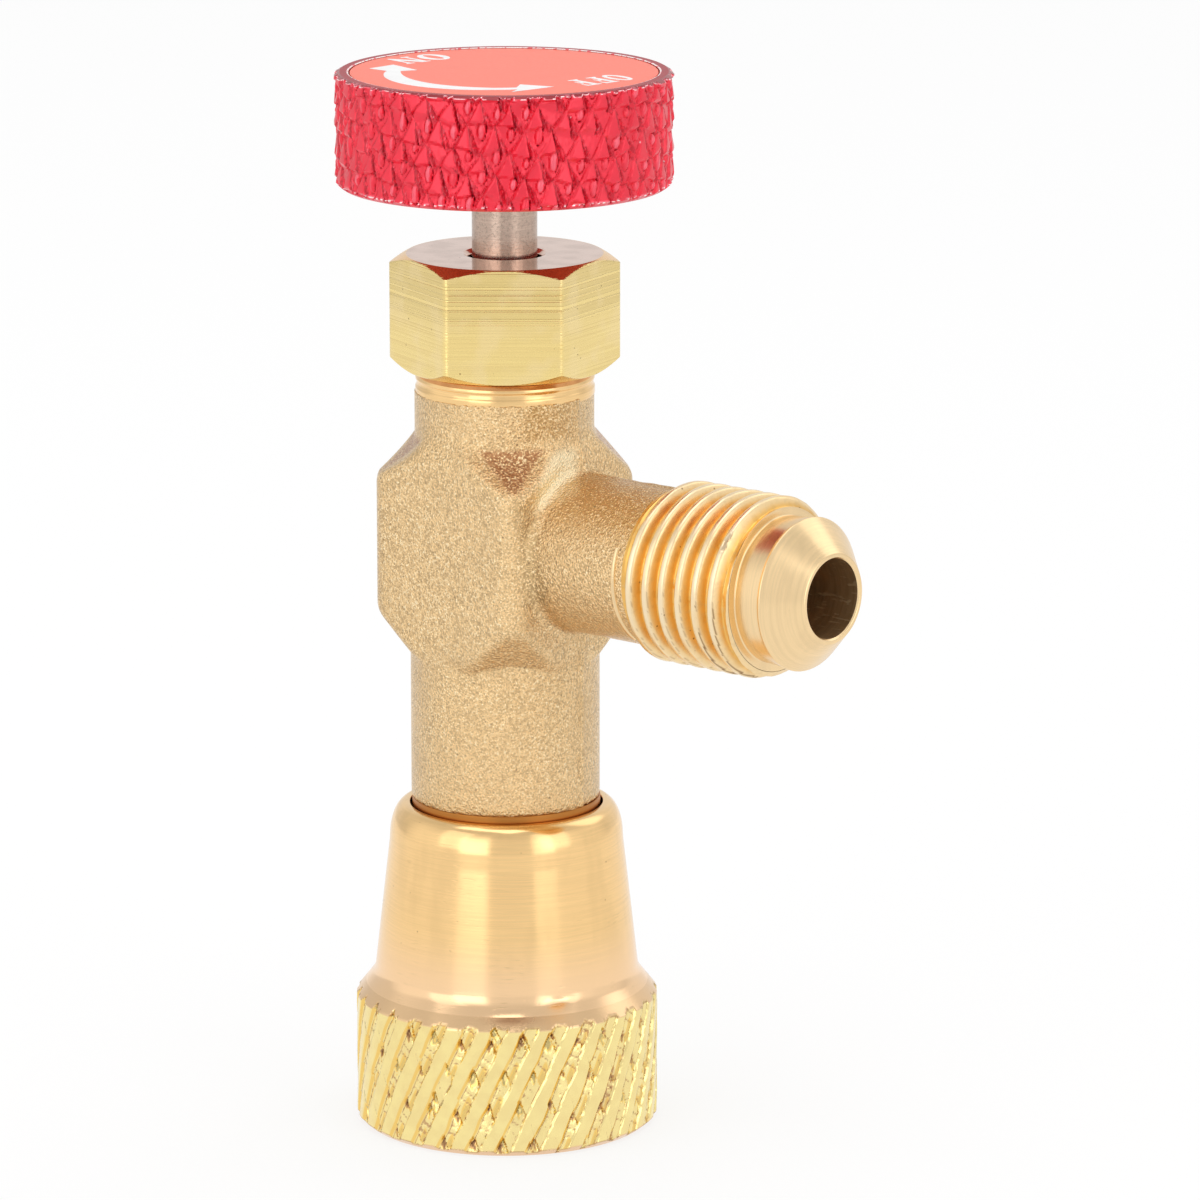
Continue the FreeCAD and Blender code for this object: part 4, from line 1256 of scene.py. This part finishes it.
class KnobMaker(KnurledPiece):
    """Steps of the knob's mesh."""

    fine, coarse, seed = 960, 192, 21
    starts = (0.5, 0.165)

    def relief(self, levels):
        """Height of the knurl from 0 to 1, its torn places, dark lines that are painted shade in the gaps,
        round the bumps and under the cells' edges, light spots that are painted highlights, and its
        roughness.

        Each cell is a scale: it stands out further towards its level lower edge and drops there. Folded
        torn metal lies to its right, and some cells have a small upright bump under that edge. Deep
        grooves rise to the right between the cells. x runs across a cell and y up it.
        """
        rough = speckle(len(levels), self.fine, 2.2, 3, 22)
        waves = speckle(len(levels), self.fine, 10, 22, 23)
        u, v, luck, other = self.cells(levels, waves * 0.09)
        x, y = (u + v) / 2 + 0.035 * luck, (v - u) / 2 + 0.045 * other
        face = 0.62 + 0.38 * np.clip((0.5 - y) / 0.45, 0, 1.2) + 0.16 * luck * (x - 0.4)
        face = np.minimum(face, 0.98 + (y - 0.02 - 0.04 * waves) * 6)
        low = 0.42 + 0.26 * np.clip(-y / 0.4, 0, 1) + 0.05 * rough
        right = x - 0.5 - (0.5 - y) * (0.3 + 0.08 * luck) + 0.03 * waves
        torn = ramp(right, 0, 0.05) * ramp(y, -0.14, 0.06)
        folds = np.sin(2 * np.pi * (right * 4.6 + 0.8 * y + other) + rough)
        rag = 0.5 + 0.2 * ramp(right, 0, 0.25) + 0.2 * folds + 0.06 * rough
        height = np.maximum(face, low) * (1 - torn) + rag * torn

        size = 0.95 + 0.2 * luck
        bump_x, bump_y = 0.56 + 0.04 * other, -0.16 + 0.03 * luck
        off_x = (x - bump_x - 0.25 * (y - bump_y)) / (0.135 * size)
        bump = 1 - off_x ** 2 - ((y - bump_y + 0.02 * rough) / (0.145 * size)) ** 2
        there = luck > -0.7
        on_bump = (bump > 0) & there
        moat = ridge(bump, -0.25, 0.35) * there
        dome = np.maximum(0.5 + 0.4 * np.sqrt(np.clip(bump, 0, 1)), height)
        height = np.where(on_bump, dome, height - 0.16 * moat)
        torn = np.where(on_bump, 0, torn)
        groove = np.minimum(0.42 + 0.1 * luck + 6 * u, 0.46 + 0.1 * luck + 6 * (1 - u))
        height = np.minimum(height, groove + 0.04 * rough)

        # Painted shade: dark lines in the gaps between cells, round the bumps, beside the torn edges and
        # under the cells' lower edges; they also sink the surface a little
        ragged = right - 0.02 - 0.035 * rough
        line = np.maximum.reduce([
            ridge(y, 0.05 * waves, 0.05) * (right < 0) * 0.25,
            ridge(ragged, 0, 0.055) * (y > -0.08) * (rough > -0.8),
            ridge(ragged, 0.13, 0.03) * (y > -0.04) * (rough > -0.2) * 0.8,
            moat * ~on_bump * (off_x > -0.3) * 0.9,
            ridge(np.minimum(u, 1 - u), 0, 0.045) * (0.2 + 0.3 * rough + 0.2 * luck),
        ])
        height = height - 0.08 * line + waves * 0.03
        # Painted highlights: the left side of each bump, a thin line beside the torn edge and a few specks in
        # the dark lines
        light = np.maximum.reduce([
            on_bump * np.clip(bump * 2, 0, 1) * (off_x < 0.4) * np.clip(0.6 + 0.5 * other, 0, 1) * 0.45,
            ridge(ragged, 0.07, 0.03) * (y > 0.0) * (rough > 0.1) * 0.4,
            (rough > 0.93) * (other > 0.3) * (line > 0.2),
        ])
        return np.clip(height, -0.1, 1.03), torn, line, light, rough

    def grip(self, skin, finish):
        """Knurled side between the bottom and top chamfers."""
        full, tall = self.sizes["radius"], self.sizes["top"] - KNOB_FOOT_Z
        levels = np.concatenate([
            np.arange(0.0, 0.3, 0.05),
            np.arange(0.3, tall - 0.5, 0.108),
            np.linspace(tall - 0.45, tall, 12),
        ])
        height, torn, line, light, rough = self.relief(levels + KNOB_FOOT_Z)
        z = levels[:, None]
        radius = full - self.sizes["knurl_depth"] * (1 - height)
        foot = full - 0.36 + z * 1.3
        top = full - KNOB_CHAMFER + (tall - z) * 2.0
        limit = np.minimum(foot, top)
        cut = radius > limit
        radius = np.minimum(radius, limit)
        at_cut = ridge(radius, top, 0.16) * (z > 3) * ~cut
        foot_burr = np.exp(-(((z - 0.26) / 0.07) ** 2)) * (height > 0.6) * (rough > 0.0)
        # Uncoated aluminium on the cut top edge and the foot's burr, with the painted highlights added
        bare_and_highlight = np.clip(np.maximum(at_cut * (rough > -0.5) * 1.3, foot_burr) + light, 0, 1)
        # The dark lines lower the depth mark, which the finish turns into painted shade
        depth = 0.4 + 0.6 * ramp(height, 0.2, 0.3) - 0.75 * line
        # Painted shade: the top chamfer's depth mark is set very low so it turns dark red, the bottom
        # chamfer's a little
        depth = np.clip(np.where(cut, np.where(z > 2, 0.1, 0.7), depth), 0, 1)
        rings = rings_round(full_turn(self.fine), radius, z + KNOB_FOOT_Z)
        return skin.rows(rings, finish, {"depth": depth, "torn": torn * ~cut, "bare_and_highlight": bare_and_highlight})

    def make(self, materials):
        radius, top = self.sizes["radius"], self.sizes["top"]
        skin = Skin()
        foot, grip_top = self.grip(skin, 0)
        label_gap = 0.08
        inner_r = self.sizes["label_radius"] + label_gap
        rim = divided([(radius - KNOB_CHAMFER, top), (inner_r + 0.1, top)], 0.3)
        rim_out, rim_in = skin.rows(spun(rim, self.coarse), 1)
        skin.join(grip_top, rim_out, 1, True)
        lip = [(inner_r + 0.1, top), (inner_r + 0.03, top - 0.01), (inner_r, top - 0.04)]
        lip_out, lip_in = skin.rows(spun(lip, self.coarse), 1, {"bare_and_highlight": 0.9})
        skin.quads(rim_in, lip_out, 1)
        rest = softened([
            (inner_r, top - 0.04),
            (inner_r, top - 0.26),
            (2.6, top - 0.26),
            (2.6, DRIVE_TOP_Z),
            (2.03, DRIVE_TOP_Z),
            (2.03, KNOB_FOOT_Z + 0.1),
            (2.15, KNOB_FOOT_Z),
            (radius - 0.46, KNOB_FOOT_Z),
        ], 0.03)
        first, last = skin.rows(spun(divided(rest, 0.8), self.coarse), 2)
        skin.quads(lip_in, first, 1)
        skin.join(foot, last, 2)
        return skin.build("knob_knurled", materials, 30)


def make_hexagon(materials):
    """Hexagonal bonnet nut with turned end faces, its shank and its bores."""
    columns = 384
    turn = full_turn(columns, 0.5)
    foot, top = NECK_TOP_Z + 0.14, HEX_TOP_Z
    levels = np.concatenate([
        np.linspace(foot, foot + 1.0, 28),
        np.linspace(foot + 1.1, top - 1.0, 48),
        np.linspace(top - 0.9, top, 28),
    ])[:, None]
    sixth = math.pi / 3
    past_side = turn - math.radians(HEX_FLAT_DEG) + math.pi / 6
    local = past_side % sixth - math.pi / 6
    side = np.floor(past_side / sixth).astype(int) % 6
    ledges = 38
    steps = np.cumsum(np.random.default_rng(5).uniform(-1, 1, (6, ledges + 2)), axis=1)
    steps = steps - steps.mean(axis=1, keepdims=True)
    place = (levels - foot) / (top - foot) * ledges + 0.5 * np.sin(side * 2.1)
    index = np.clip(np.floor(place).astype(int), 0, ledges)
    fall = np.clip((place - index) * 3, 0, 1)
    ledge = steps[side, index] * (1 - fall) + steps[side, index + 1] * fall
    upper_third = np.clip((levels - top + 4.2) / 1.5, 0, 1)
    half_flat = HEX_HALF_FLAT + 0.008 * ledge * (0.4 + 0.6 * (side == 0)) * (0.5 + upper_third)
    flat = half_flat / np.cos(local)
    corner = HEX_HALF_FLAT / math.cos(math.pi / 6) - 0.05
    prism = round_min(flat, corner, 0.05)
    upper = 6.05 + (top - levels) * 1.75
    lower = 6.12 + (levels - foot) * 1.55
    radius = round_min(round_min(prism, upper, 0.05), lower, 0.05)
    skin = Skin()
    chamfered = upper < flat - 0.03
    faces_turned = (chamfered[:-1] & chamfered[1:]).astype(int).reshape(-1)
    side_foot, side_top = skin.rows(rings_round(turn, radius, levels), faces_turned)
    end = softened([
        (6.0, top),
        (2.55, top),
        (2.3, top - 0.25),
        (2.3, LIFT_TOP_Z + 0.12),
        (3.01, LIFT_TOP_Z + 0.12),
        (3.01, 46.1),
        (2.78, 46.1),
        (2.78, SHANK_FOOT_Z),
        (4.3, SHANK_FOOT_Z),
        (4.3, foot),
        (6.05, foot),
    ], 0.05)
    end_top, end_foot = skin.rows(spun(divided(end, 0.5), columns), 1)
    skin.quads(side_top, end_top, 1)
    skin.quads(end_foot, side_foot, 1)
    return skin.build("bonnet_hexagon", materials, 25)


def make_spindle_mesh(materials):
    """Turned spindle: drive end, plain stem, lift thread, waist, two seal grooves and foot."""
    columns = 128
    top = DRIVE_TOP_Z
    skin = Skin()
    upper = softened([
        (1.02, top - 1.0), (1.02, top), (1.6, top), (1.6, KNOB_FOOT_Z + 0.05),
        (1.98, KNOB_FOOT_Z), (2.0, KNOB_FOOT_Z - 0.1), (2.0, 52.9), (2.0, 52.72),
    ], 0.04)
    _, stem_end = skin.rows(spun(divided(upper, 0.5), columns))
    turn = full_turn(columns)
    z = np.linspace(LIFT_TOP_Z, LIFT_FOOT_Z, 64)[:, None]
    wave = 0.5 + 0.5 * np.cos(2 * np.pi * (z - turn / (2 * np.pi)))
    ends = np.clip(np.minimum(LIFT_TOP_Z - z, z - LIFT_FOOT_Z) / 0.3, 0, 1)
    radius = 2.45 + 0.5 * np.clip(wave * 1.2, 0, 1) * ends
    thread_top, thread_foot = skin.rows(rings_round(turn, radius, z))
    skin.quads(stem_end, thread_top, 0)
    piston_r, seal_groove_r = 2.72, 1.92
    lower = [(2.45, 49.18), (2.2, 49.1), (2.2, 46.0), (piston_r, 46.0)]
    for groove_top, groove_foot in ((45.5, 44.55), (44.05, 43.1)):
        lower += [
            (piston_r, groove_top), (seal_groove_r, groove_top),
            (seal_groove_r, groove_foot), (piston_r, groove_foot),
        ]
    lower += [
        (piston_r, 42.6), (1.7, 42.6), (1.7, SPINDLE_FOOT_Z),
        (0.82, SPINDLE_FOOT_Z), (0.82, SPINDLE_FOOT_Z + 3.0),
    ]
    first, _ = skin.rows(spun(divided(softened(lower, 0.04), 0.6), columns))
    skin.quads(thread_foot, first, 0)
    return skin.build("spindle_turned", materials, 35)


# Label


def oval(half_width, half_height):
    """Outline of an oval in the middle of a letter's unit square."""
    angles = np.linspace(0, 2 * math.pi, 40, False)
    return [(0.5 + half_width * math.cos(a), 0.5 + half_height * math.sin(a)) for a in angles]


# Outlines of the letters, each in a unit square
LETTERS = {
    "O": [oval(0.46, 0.52), oval(0.2, 0.4)],
    "F": [[
        (0.04, 0), (0.58, 0), (0.58, 0.07), (0.42, 0.1), (0.42, 0.44), (0.56, 0.44), (0.6, 0.33),
        (0.67, 0.33), (0.67, 0.67), (0.6, 0.67), (0.56, 0.55), (0.42, 0.55), (0.42, 0.9), (0.68, 0.9),
        (0.8, 0.72), (0.87, 0.72), (0.85, 1.0), (0.04, 1.0), (0.04, 0.93), (0.16, 0.9), (0.16, 0.1),
        (0.04, 0.07),
    ]],
    "N": [[
        (0.02, 0), (0.34, 0), (0.34, 0.07), (0.24, 0.1), (0.24, 0.72), (0.76, 0), (0.88, 0), (0.88, 0.9),
        (0.98, 0.93), (0.98, 1.0), (0.66, 1.0), (0.66, 0.93), (0.76, 0.9), (0.76, 0.42), (0.36, 1.0),
        (0.02, 1.0), (0.02, 0.93), (0.12, 0.9), (0.12, 0.1), (0.02, 0.07),
    ]],
}


def flat_shape(name, outlines, lift, material):
    """Thin filled plate from closed outlines in millimetres, inner outlines cut out."""
    curve = bpy.data.curves.new(name, "CURVE")
    curve.dimensions = "2D"
    curve.fill_mode = "BOTH"
    curve.extrude = 0.008 * MM
    for outline in outlines:
        spline = curve.splines.new("POLY")
        spline.points.add(len(outline) - 1)
        for point, (x, y) in zip(spline.points, outline):
            point.co = (x * MM, y * MM, 0.0, 1.0)
        spline.use_cyclic_u = True
    holder = add_object(name + "_outline", curve)
    bpy.context.view_layer.update()
    mesh = bpy.data.meshes.new_from_object(holder.evaluated_get(bpy.context.evaluated_depsgraph_get()))
    bpy.data.objects.remove(holder)
    bpy.data.curves.remove(curve)
    mesh.name = name
    for vertex in mesh.vertices:
        vertex.co.z += lift * MM
    mesh.materials.clear()
    mesh.materials.append(material)
    return add_object(name, mesh)


def compass_point(angle_deg, radius):
    """Place on the label by its angle and its distance from the centre."""
    angle = math.radians(angle_deg)
    return radius * math.cos(angle), radius * math.sin(angle)


def placed_word(word, middle_deg, distance, height, width, text_deg):
    """Outlines of a word whose middle stands at an angle and distance from the label's centre."""
    along = Vector(compass_point(text_deg, 1.0))
    up = Vector((-along.y, along.x))
    centre = Vector(compass_point(middle_deg, 1.0)) * distance
    filled = 0.94
    outlines = []
    for place, letter in enumerate(word):
        shift = (place - len(word) / 2) * width
        for outline in LETTERS[letter]:
            outlines.append([
                tuple(centre + along * (shift + x * width * filled) + up * ((y - 0.5) * height))
                for x, y in outline
            ])
    return outlines


def curved_arrow():
    """Outline of the two-headed arrow, bent round the label's centre."""
    outer = []
    inner = []
    for t in np.linspace(0, 1, 48):
        angle = 219.0 + 99.0 * t
        middle = 6.7 + 0.35 * math.sin(math.pi * t)
        half = 0.4 + 0.3 * math.sin(math.pi * min(1.0, t * 1.15)) ** 0.7 - 0.04 * t
        outer.append(compass_point(angle, middle + half))
        inner.append(compass_point(angle, middle - half))
    start_head = [compass_point(*corner) for corner in ((215.0, 5.3), (199.0, 7.3), (212.5, 8.3))]
    end_head = [compass_point(*corner) for corner in ((314.5, 8.0), (337.5, 6.7), (322.0, 5.2))]
    return start_head + outer + end_head + inner[::-1]


def make_label(materials, radius, top, foot):
    """Printed disc with a softly cut edge."""
    columns, inner_r, nearly_none = 192, 0.3, 0.0001
    profile = softened([(inner_r, top), (radius, top), (radius, foot), (inner_r, foot)], 0.03)
    skin = Skin()
    skin.rows(spun(divided(profile, 0.6), columns))
    skin.rows(spun([(nearly_none, top), (inner_r, top)], columns))
    return skin.build("label_disc", materials, 40)


# Operators


def place_piece(piece, body, slot, *nodes):
    """Let a finished piece ride on its body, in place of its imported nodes."""
    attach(piece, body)
    if nodes:
        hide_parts(*nodes)


def dress(node, material):
    """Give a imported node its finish."""
    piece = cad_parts[node]
    piece.data.materials.clear()
    piece.data.materials.append(material)


class VALVE_OT_forged_body(Operator):
    """Build the forged tee with its turned neck ring, tail and flare end"""

    bl_idname = "valve.forged_body"
    bl_label = "Forged body"

    def execute(self, context):
        scene = context.scene
        sizes = in_millimetres(scene.valve_forging)
        finishes = scene.valve_finishes
        tee, port = Skin(), Skin()

        def distance(x, y, z):
            return forging_distance(x, y, z, sizes)

        low = (-8.9, -8.9, sizes["barrel_foot"] - 0.6)
        high = (14.6, 8.9, NECK_TOP_Z - 0.4)
        points, quads = surface_net(distance, low, high, sizes["grid_step"])
        first = tee.put(points[None])[0, 0]
        tee.add_faces(quads + first, 0)
        add_neck_ring(tee, sizes, 1)
        add_tail(tee, 1, 2)
        add_flare_end(port, in_millimetres(scene.valve_flare), 0, 1, 2)
        forged = tee.build("forged_tee", [
            blasted_brass(finishes.forging),
            turned_brass("turned_brass_body", finishes.turned),
            # Darkened copy of the turned finish: painted shade on the tail in the gap under the barrel
            turned_brass("brass_gap_shade", (0.5, 0.2, 0.045), roughness=0.3),
        ], 50)
        place_piece(forged, "body", "forged_brass", "valve_body")
        flare_end = port.build("flare_end_turned", [
            turned_brass("turned_brass_port", (0.96, 0.71, 0.4), True, 0.21),
            thread_brass(finishes.thread),
            bored_brass(),
        ], 50)
        place_piece(flare_end, "body", "forged_brass")
        return {"FINISHED"}


class VALVE_OT_swivel_nut(Operator):
    """Build the knurled swivel nut"""

    bl_idname = "valve.swivel_nut"
    bl_label = "Swivel nut"

    def execute(self, context):
        finishes = context.scene.valve_finishes
        piece = SwivelNutMaker(context.scene.valve_nut).make([
            knurled_brass(finishes.knurled),
            turned_brass("turned_brass_nut", finishes.turned, scuffs=0.25),
        ])
        place_piece(piece, "nut", "turned_brass", "swivel_nut")
        return {"FINISHED"}


class VALVE_OT_bonnet(Operator):
    """Build the hexagonal bonnet nut"""

    bl_idname = "valve.bonnet"
    bl_label = "Bonnet nut"

    def execute(self, context):
        piece = make_hexagon([hexagon_flats(context.scene.valve_finishes.hexagon), hexagon_faces()])
        place_piece(piece, "body", "bonnet_brass", "bonnet_nut")
        return {"FINISHED"}


class VALVE_OT_spindle(Operator):
    """Build the spindle and finish its pin and screw"""

    bl_idname = "valve.spindle"
    bl_label = "Spindle"

    def execute(self, context):
        steel = plated_steel(context.scene.valve_finishes.steel)
        piece = make_spindle_mesh([steel])
        place_piece(piece, "stem", "stem_steel", "spindle")
        dress("depressor_pin", steel)
        dress("knob_screw", steel)
        return {"FINISHED"}


class VALVE_OT_knob(Operator):
    """Build the red knurled knob"""

    bl_idname = "valve.knob"
    bl_label = "Knob"

    def execute(self, context):
        red = context.scene.valve_finishes.red
        piece = KnobMaker(context.scene.valve_knob).make([
            red_anodised("red_knurl", red),
            # The rim and the underside use darker copies of the red: painted shade
            red_anodised("red_rim_shaded", red, 0.8),
            red_anodised("red_underside_shaded", red, 0.9, (0.4, 0.06, 0.035)),
        ])
        place_piece(piece, "stem", "red_anodised", "knob")
        return {"FINISHED"}


class VALVE_OT_label(Operator):
    """Build the printed label with its words and arrow"""

    bl_idname = "valve.label"
    bl_label = "Label"

    def execute(self, context):
        knob = in_millimetres(context.scene.valve_knob)
        sunk, thick, print_lift = 0.05, 0.2, 0.006
        top = knob["top"] - sunk
        film = printed_film("orange_film", context.scene.valve_finishes.orange, 0.28)
        disc = make_label([film], knob["label_radius"], top, top - thick)
        place_piece(disc, "stem", "orange_label", "knob_label")
        white = printed_film("white_print", (0.9, 0.9, 0.9), 0.35)
        outlines = placed_word("OFF", 9.6, 6.7, 2.3, 1.46, 263.0)
        outlines += placed_word("ON", 176.4, 7.3, 2.3, 2.04, 261.0)
        outlines.append(curved_arrow())
        print_piece = flat_shape("label_print", outlines, top + print_lift, white)
        place_piece(print_piece, "stem", "orange_label")
        return {"FINISHED"}


class VALVE_OT_seals(Operator):
    """Finish the seals, the gasket and the wire ring"""

    bl_idname = "valve.seals"
    bl_label = "Seals and ring"

    def execute(self, context):
        rubber = moulded_rubber(context.scene.valve_finishes.rubber)
        for node in ("nut_gasket", "bonnet_seal_ring", "spindle_upper_seal", "spindle_lower_seal"):
            dress(node, rubber)
        dress("nut_retaining_ring", drawn_wire())
        return {"FINISHED"}


def add_camera(scene):
    """Camera at the photograph's angle."""
    data = bpy.data.cameras.new("camera")
    data.lens = CAMERA_LENS
    data.clip_start = 0.01
    camera = add_object("camera", data)
    camera.location = CAMERA_PLACE
    camera.rotation_euler = (math.radians(90 - CAMERA_DOWN_DEG), 0.0, math.radians(CAMERA_TURN_DEG))
    scene.camera = camera


def wall_light(sheet, direction, settings):
    """Brightness of the studio's walls by compass direction, from light walls and dimmer ones between."""
    x, y, _ = sheet.parts(direction)
    size = (x * x + y * y) ** 0.5
    glow = 0.0
    for compass, half_width, fade, weight in WALLS:
        angle = math.radians(compass)
        facing = (x * math.cos(angle) + y * math.sin(angle)) / size
        outer = math.cos(math.radians(half_width + fade))
        inner = math.cos(math.radians(half_width))
        glow = (facing.between(outer, inner) * weight).at_least(glow)
    return glow * (settings.bright - settings.dim) + settings.dim


def add_world(scene, settings):
    """Soft studio round the object, with a light panel behind and above; the camera sees plain white."""
    world = bpy.data.worlds.new("studio")
    scene.world = world
    sheet = ShaderSheet(world)
    direction = sheet.add("ShaderNodeTexCoord", output="Generated")
    x, y, height = sheet.parts(direction)
    wall = wall_light(sheet, direction, settings)
    ceiling = height.between(0.3, 0.8)
    panel = (x * 0.23 + y * 0.73 + height * 0.64).between(0.93, 0.98)
    level = wall * (1 - ceiling) + ceiling * settings.ceiling + panel * 0.7
    camera_ray = sheet.add("ShaderNodeLightPath", output="Is Camera Ray")
    grey = sheet.grey(camera_ray + level * (1 - camera_ray))
    background = sheet.add("ShaderNodeBackground", {}, {"Color": grey, "Strength": 1.0})
    sheet.add("ShaderNodeOutputWorld", {}, {"Surface": background})


def add_floor(settings):
    """Pale floor with a faint shadow. Metal sees it bright near the object and farther out like the walls."""
    size = 3.0
    corners = [(-size, -size, 0), (size, -size, 0), (size, size, 0), (-size, size, 0)]
    mesh = bpy.data.meshes.new("floor")
    mesh.from_pydata(corners, [], [(0, 1, 2, 3)])
    floor = add_object("floor", mesh)
    floor.location.z = -0.00002
    sheet = ShaderSheet(bpy.data.materials.new("pale_floor"))
    place = sheet.add("ShaderNodeNewGeometry", output="Position")
    cloud = sheet.noise(place, 0.4, 2.0)
    body = sheet.blend(cloud, (0.93, 0.93, 0.93), (0.96, 0.96, 0.96))
    matt = sheet.add("ShaderNodeBsdfDiffuse", {}, {"Color": body})
    white = sheet.add("ShaderNodeEmission", {}, {"Color": (1, 1, 1, 1), "Strength": 1.0})
    camera_ray = sheet.add("ShaderNodeLightPath", output="Is Camera Ray")
    seen = sheet.add("ShaderNodeMixShader", {}, {0: camera_ray * 0.76, 1: matt, 2: white})
    x, y, _ = sheet.parts(place)
    away = (x * x + y * y) ** 0.5
    paper = 1 - away.between(0.3, 0.37)
    wall = wall_light(sheet, place, settings)
    level = wall * (1 - paper) + paper * settings.paper
    reflected = sheet.add("ShaderNodeEmission", {}, {"Color": sheet.grey(level), "Strength": 1.0})
    glossy_ray = sheet.add("ShaderNodeLightPath", output="Is Glossy Ray")
    surface = sheet.add("ShaderNodeMixShader", {}, {0: glossy_ray, 1: seen, 2: reflected})
    sheet.add("ShaderNodeOutputMaterial", {}, {"Surface": surface})
    mesh.materials.append(sheet.owner)


def add_lamp(name, place, size, power):
    """Soft square lamp that faces the object."""
    data = bpy.data.lights.new(name, "AREA")
    data.shape = "RECTANGLE"
    data.size, data.size_y = size
    data.energy = power
    lamp = add_object(name, data)
    lamp.location = place
    aim = Vector(LAMP_TARGET) - Vector(place)
    lamp.rotation_euler = aim.to_track_quat("-Z", "Y").to_euler()


class VALVE_OT_studio(Operator):
    """Set up the camera, the pale floor and the soft light"""

    bl_idname = "valve.studio"
    bl_label = "Studio"

    def execute(self, context):
        scene = context.scene
        settings = scene.valve_studio
        add_camera(scene)
        add_world(scene, settings)
        add_floor(settings)
        for lamp in LAMPS:
            add_lamp(*lamp)
        scene.view_settings.view_transform = "Standard"
        return {"FINISHED"}


class VALVE_PT_panel(Panel):
    """Lists the valve's pieces and values"""

    bl_label = "Charging valve"
    bl_idname = "VALVE_PT_panel"
    bl_space_type = "VIEW_3D"
    bl_region_type = "UI"
    bl_category = "Valve"

    def draw(self, context):
        layout = self.layout
        for operator in OPERATORS:
            layout.operator(operator.bl_idname)
        for holder, group in GROUPS.items():
            box = layout.box()
            for name in group.__annotations__:
                box.prop(getattr(context.scene, holder), name)


GROUPS = {
    "valve_forging": ForgingSizes,
    "valve_flare": FlareSizes,
    "valve_nut": NutSizes,
    "valve_knob": KnobSizes,
    "valve_finishes": Finishes,
    "valve_studio": StudioSettings,
}
OPERATORS = [
    VALVE_OT_studio,
    VALVE_OT_forged_body,
    VALVE_OT_swivel_nut,
    VALVE_OT_bonnet,
    VALVE_OT_spindle,
    VALVE_OT_knob,
    VALVE_OT_label,
    VALVE_OT_seals,
]


def register():
    for kind in [*GROUPS.values(), *OPERATORS, VALVE_PT_panel]:
        bpy.utils.register_class(kind)
    for holder, group in GROUPS.items():
        setattr(bpy.types.Scene, holder, PointerProperty(type=group))


def unregister():
    for holder in GROUPS:
        delattr(bpy.types.Scene, holder)
    for kind in reversed([*GROUPS.values(), *OPERATORS, VALVE_PT_panel]):
        bpy.utils.unregister_class(kind)


def main():
    register()
    bpy.ops.valve.studio()
    bpy.ops.valve.forged_body()
    bpy.ops.valve.swivel_nut()
    bpy.ops.valve.bonnet()
    bpy.ops.valve.spindle()
    bpy.ops.valve.knob()
    bpy.ops.valve.label()
    bpy.ops.valve.seals()
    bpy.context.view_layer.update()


if __name__ == "__main__":
    main()
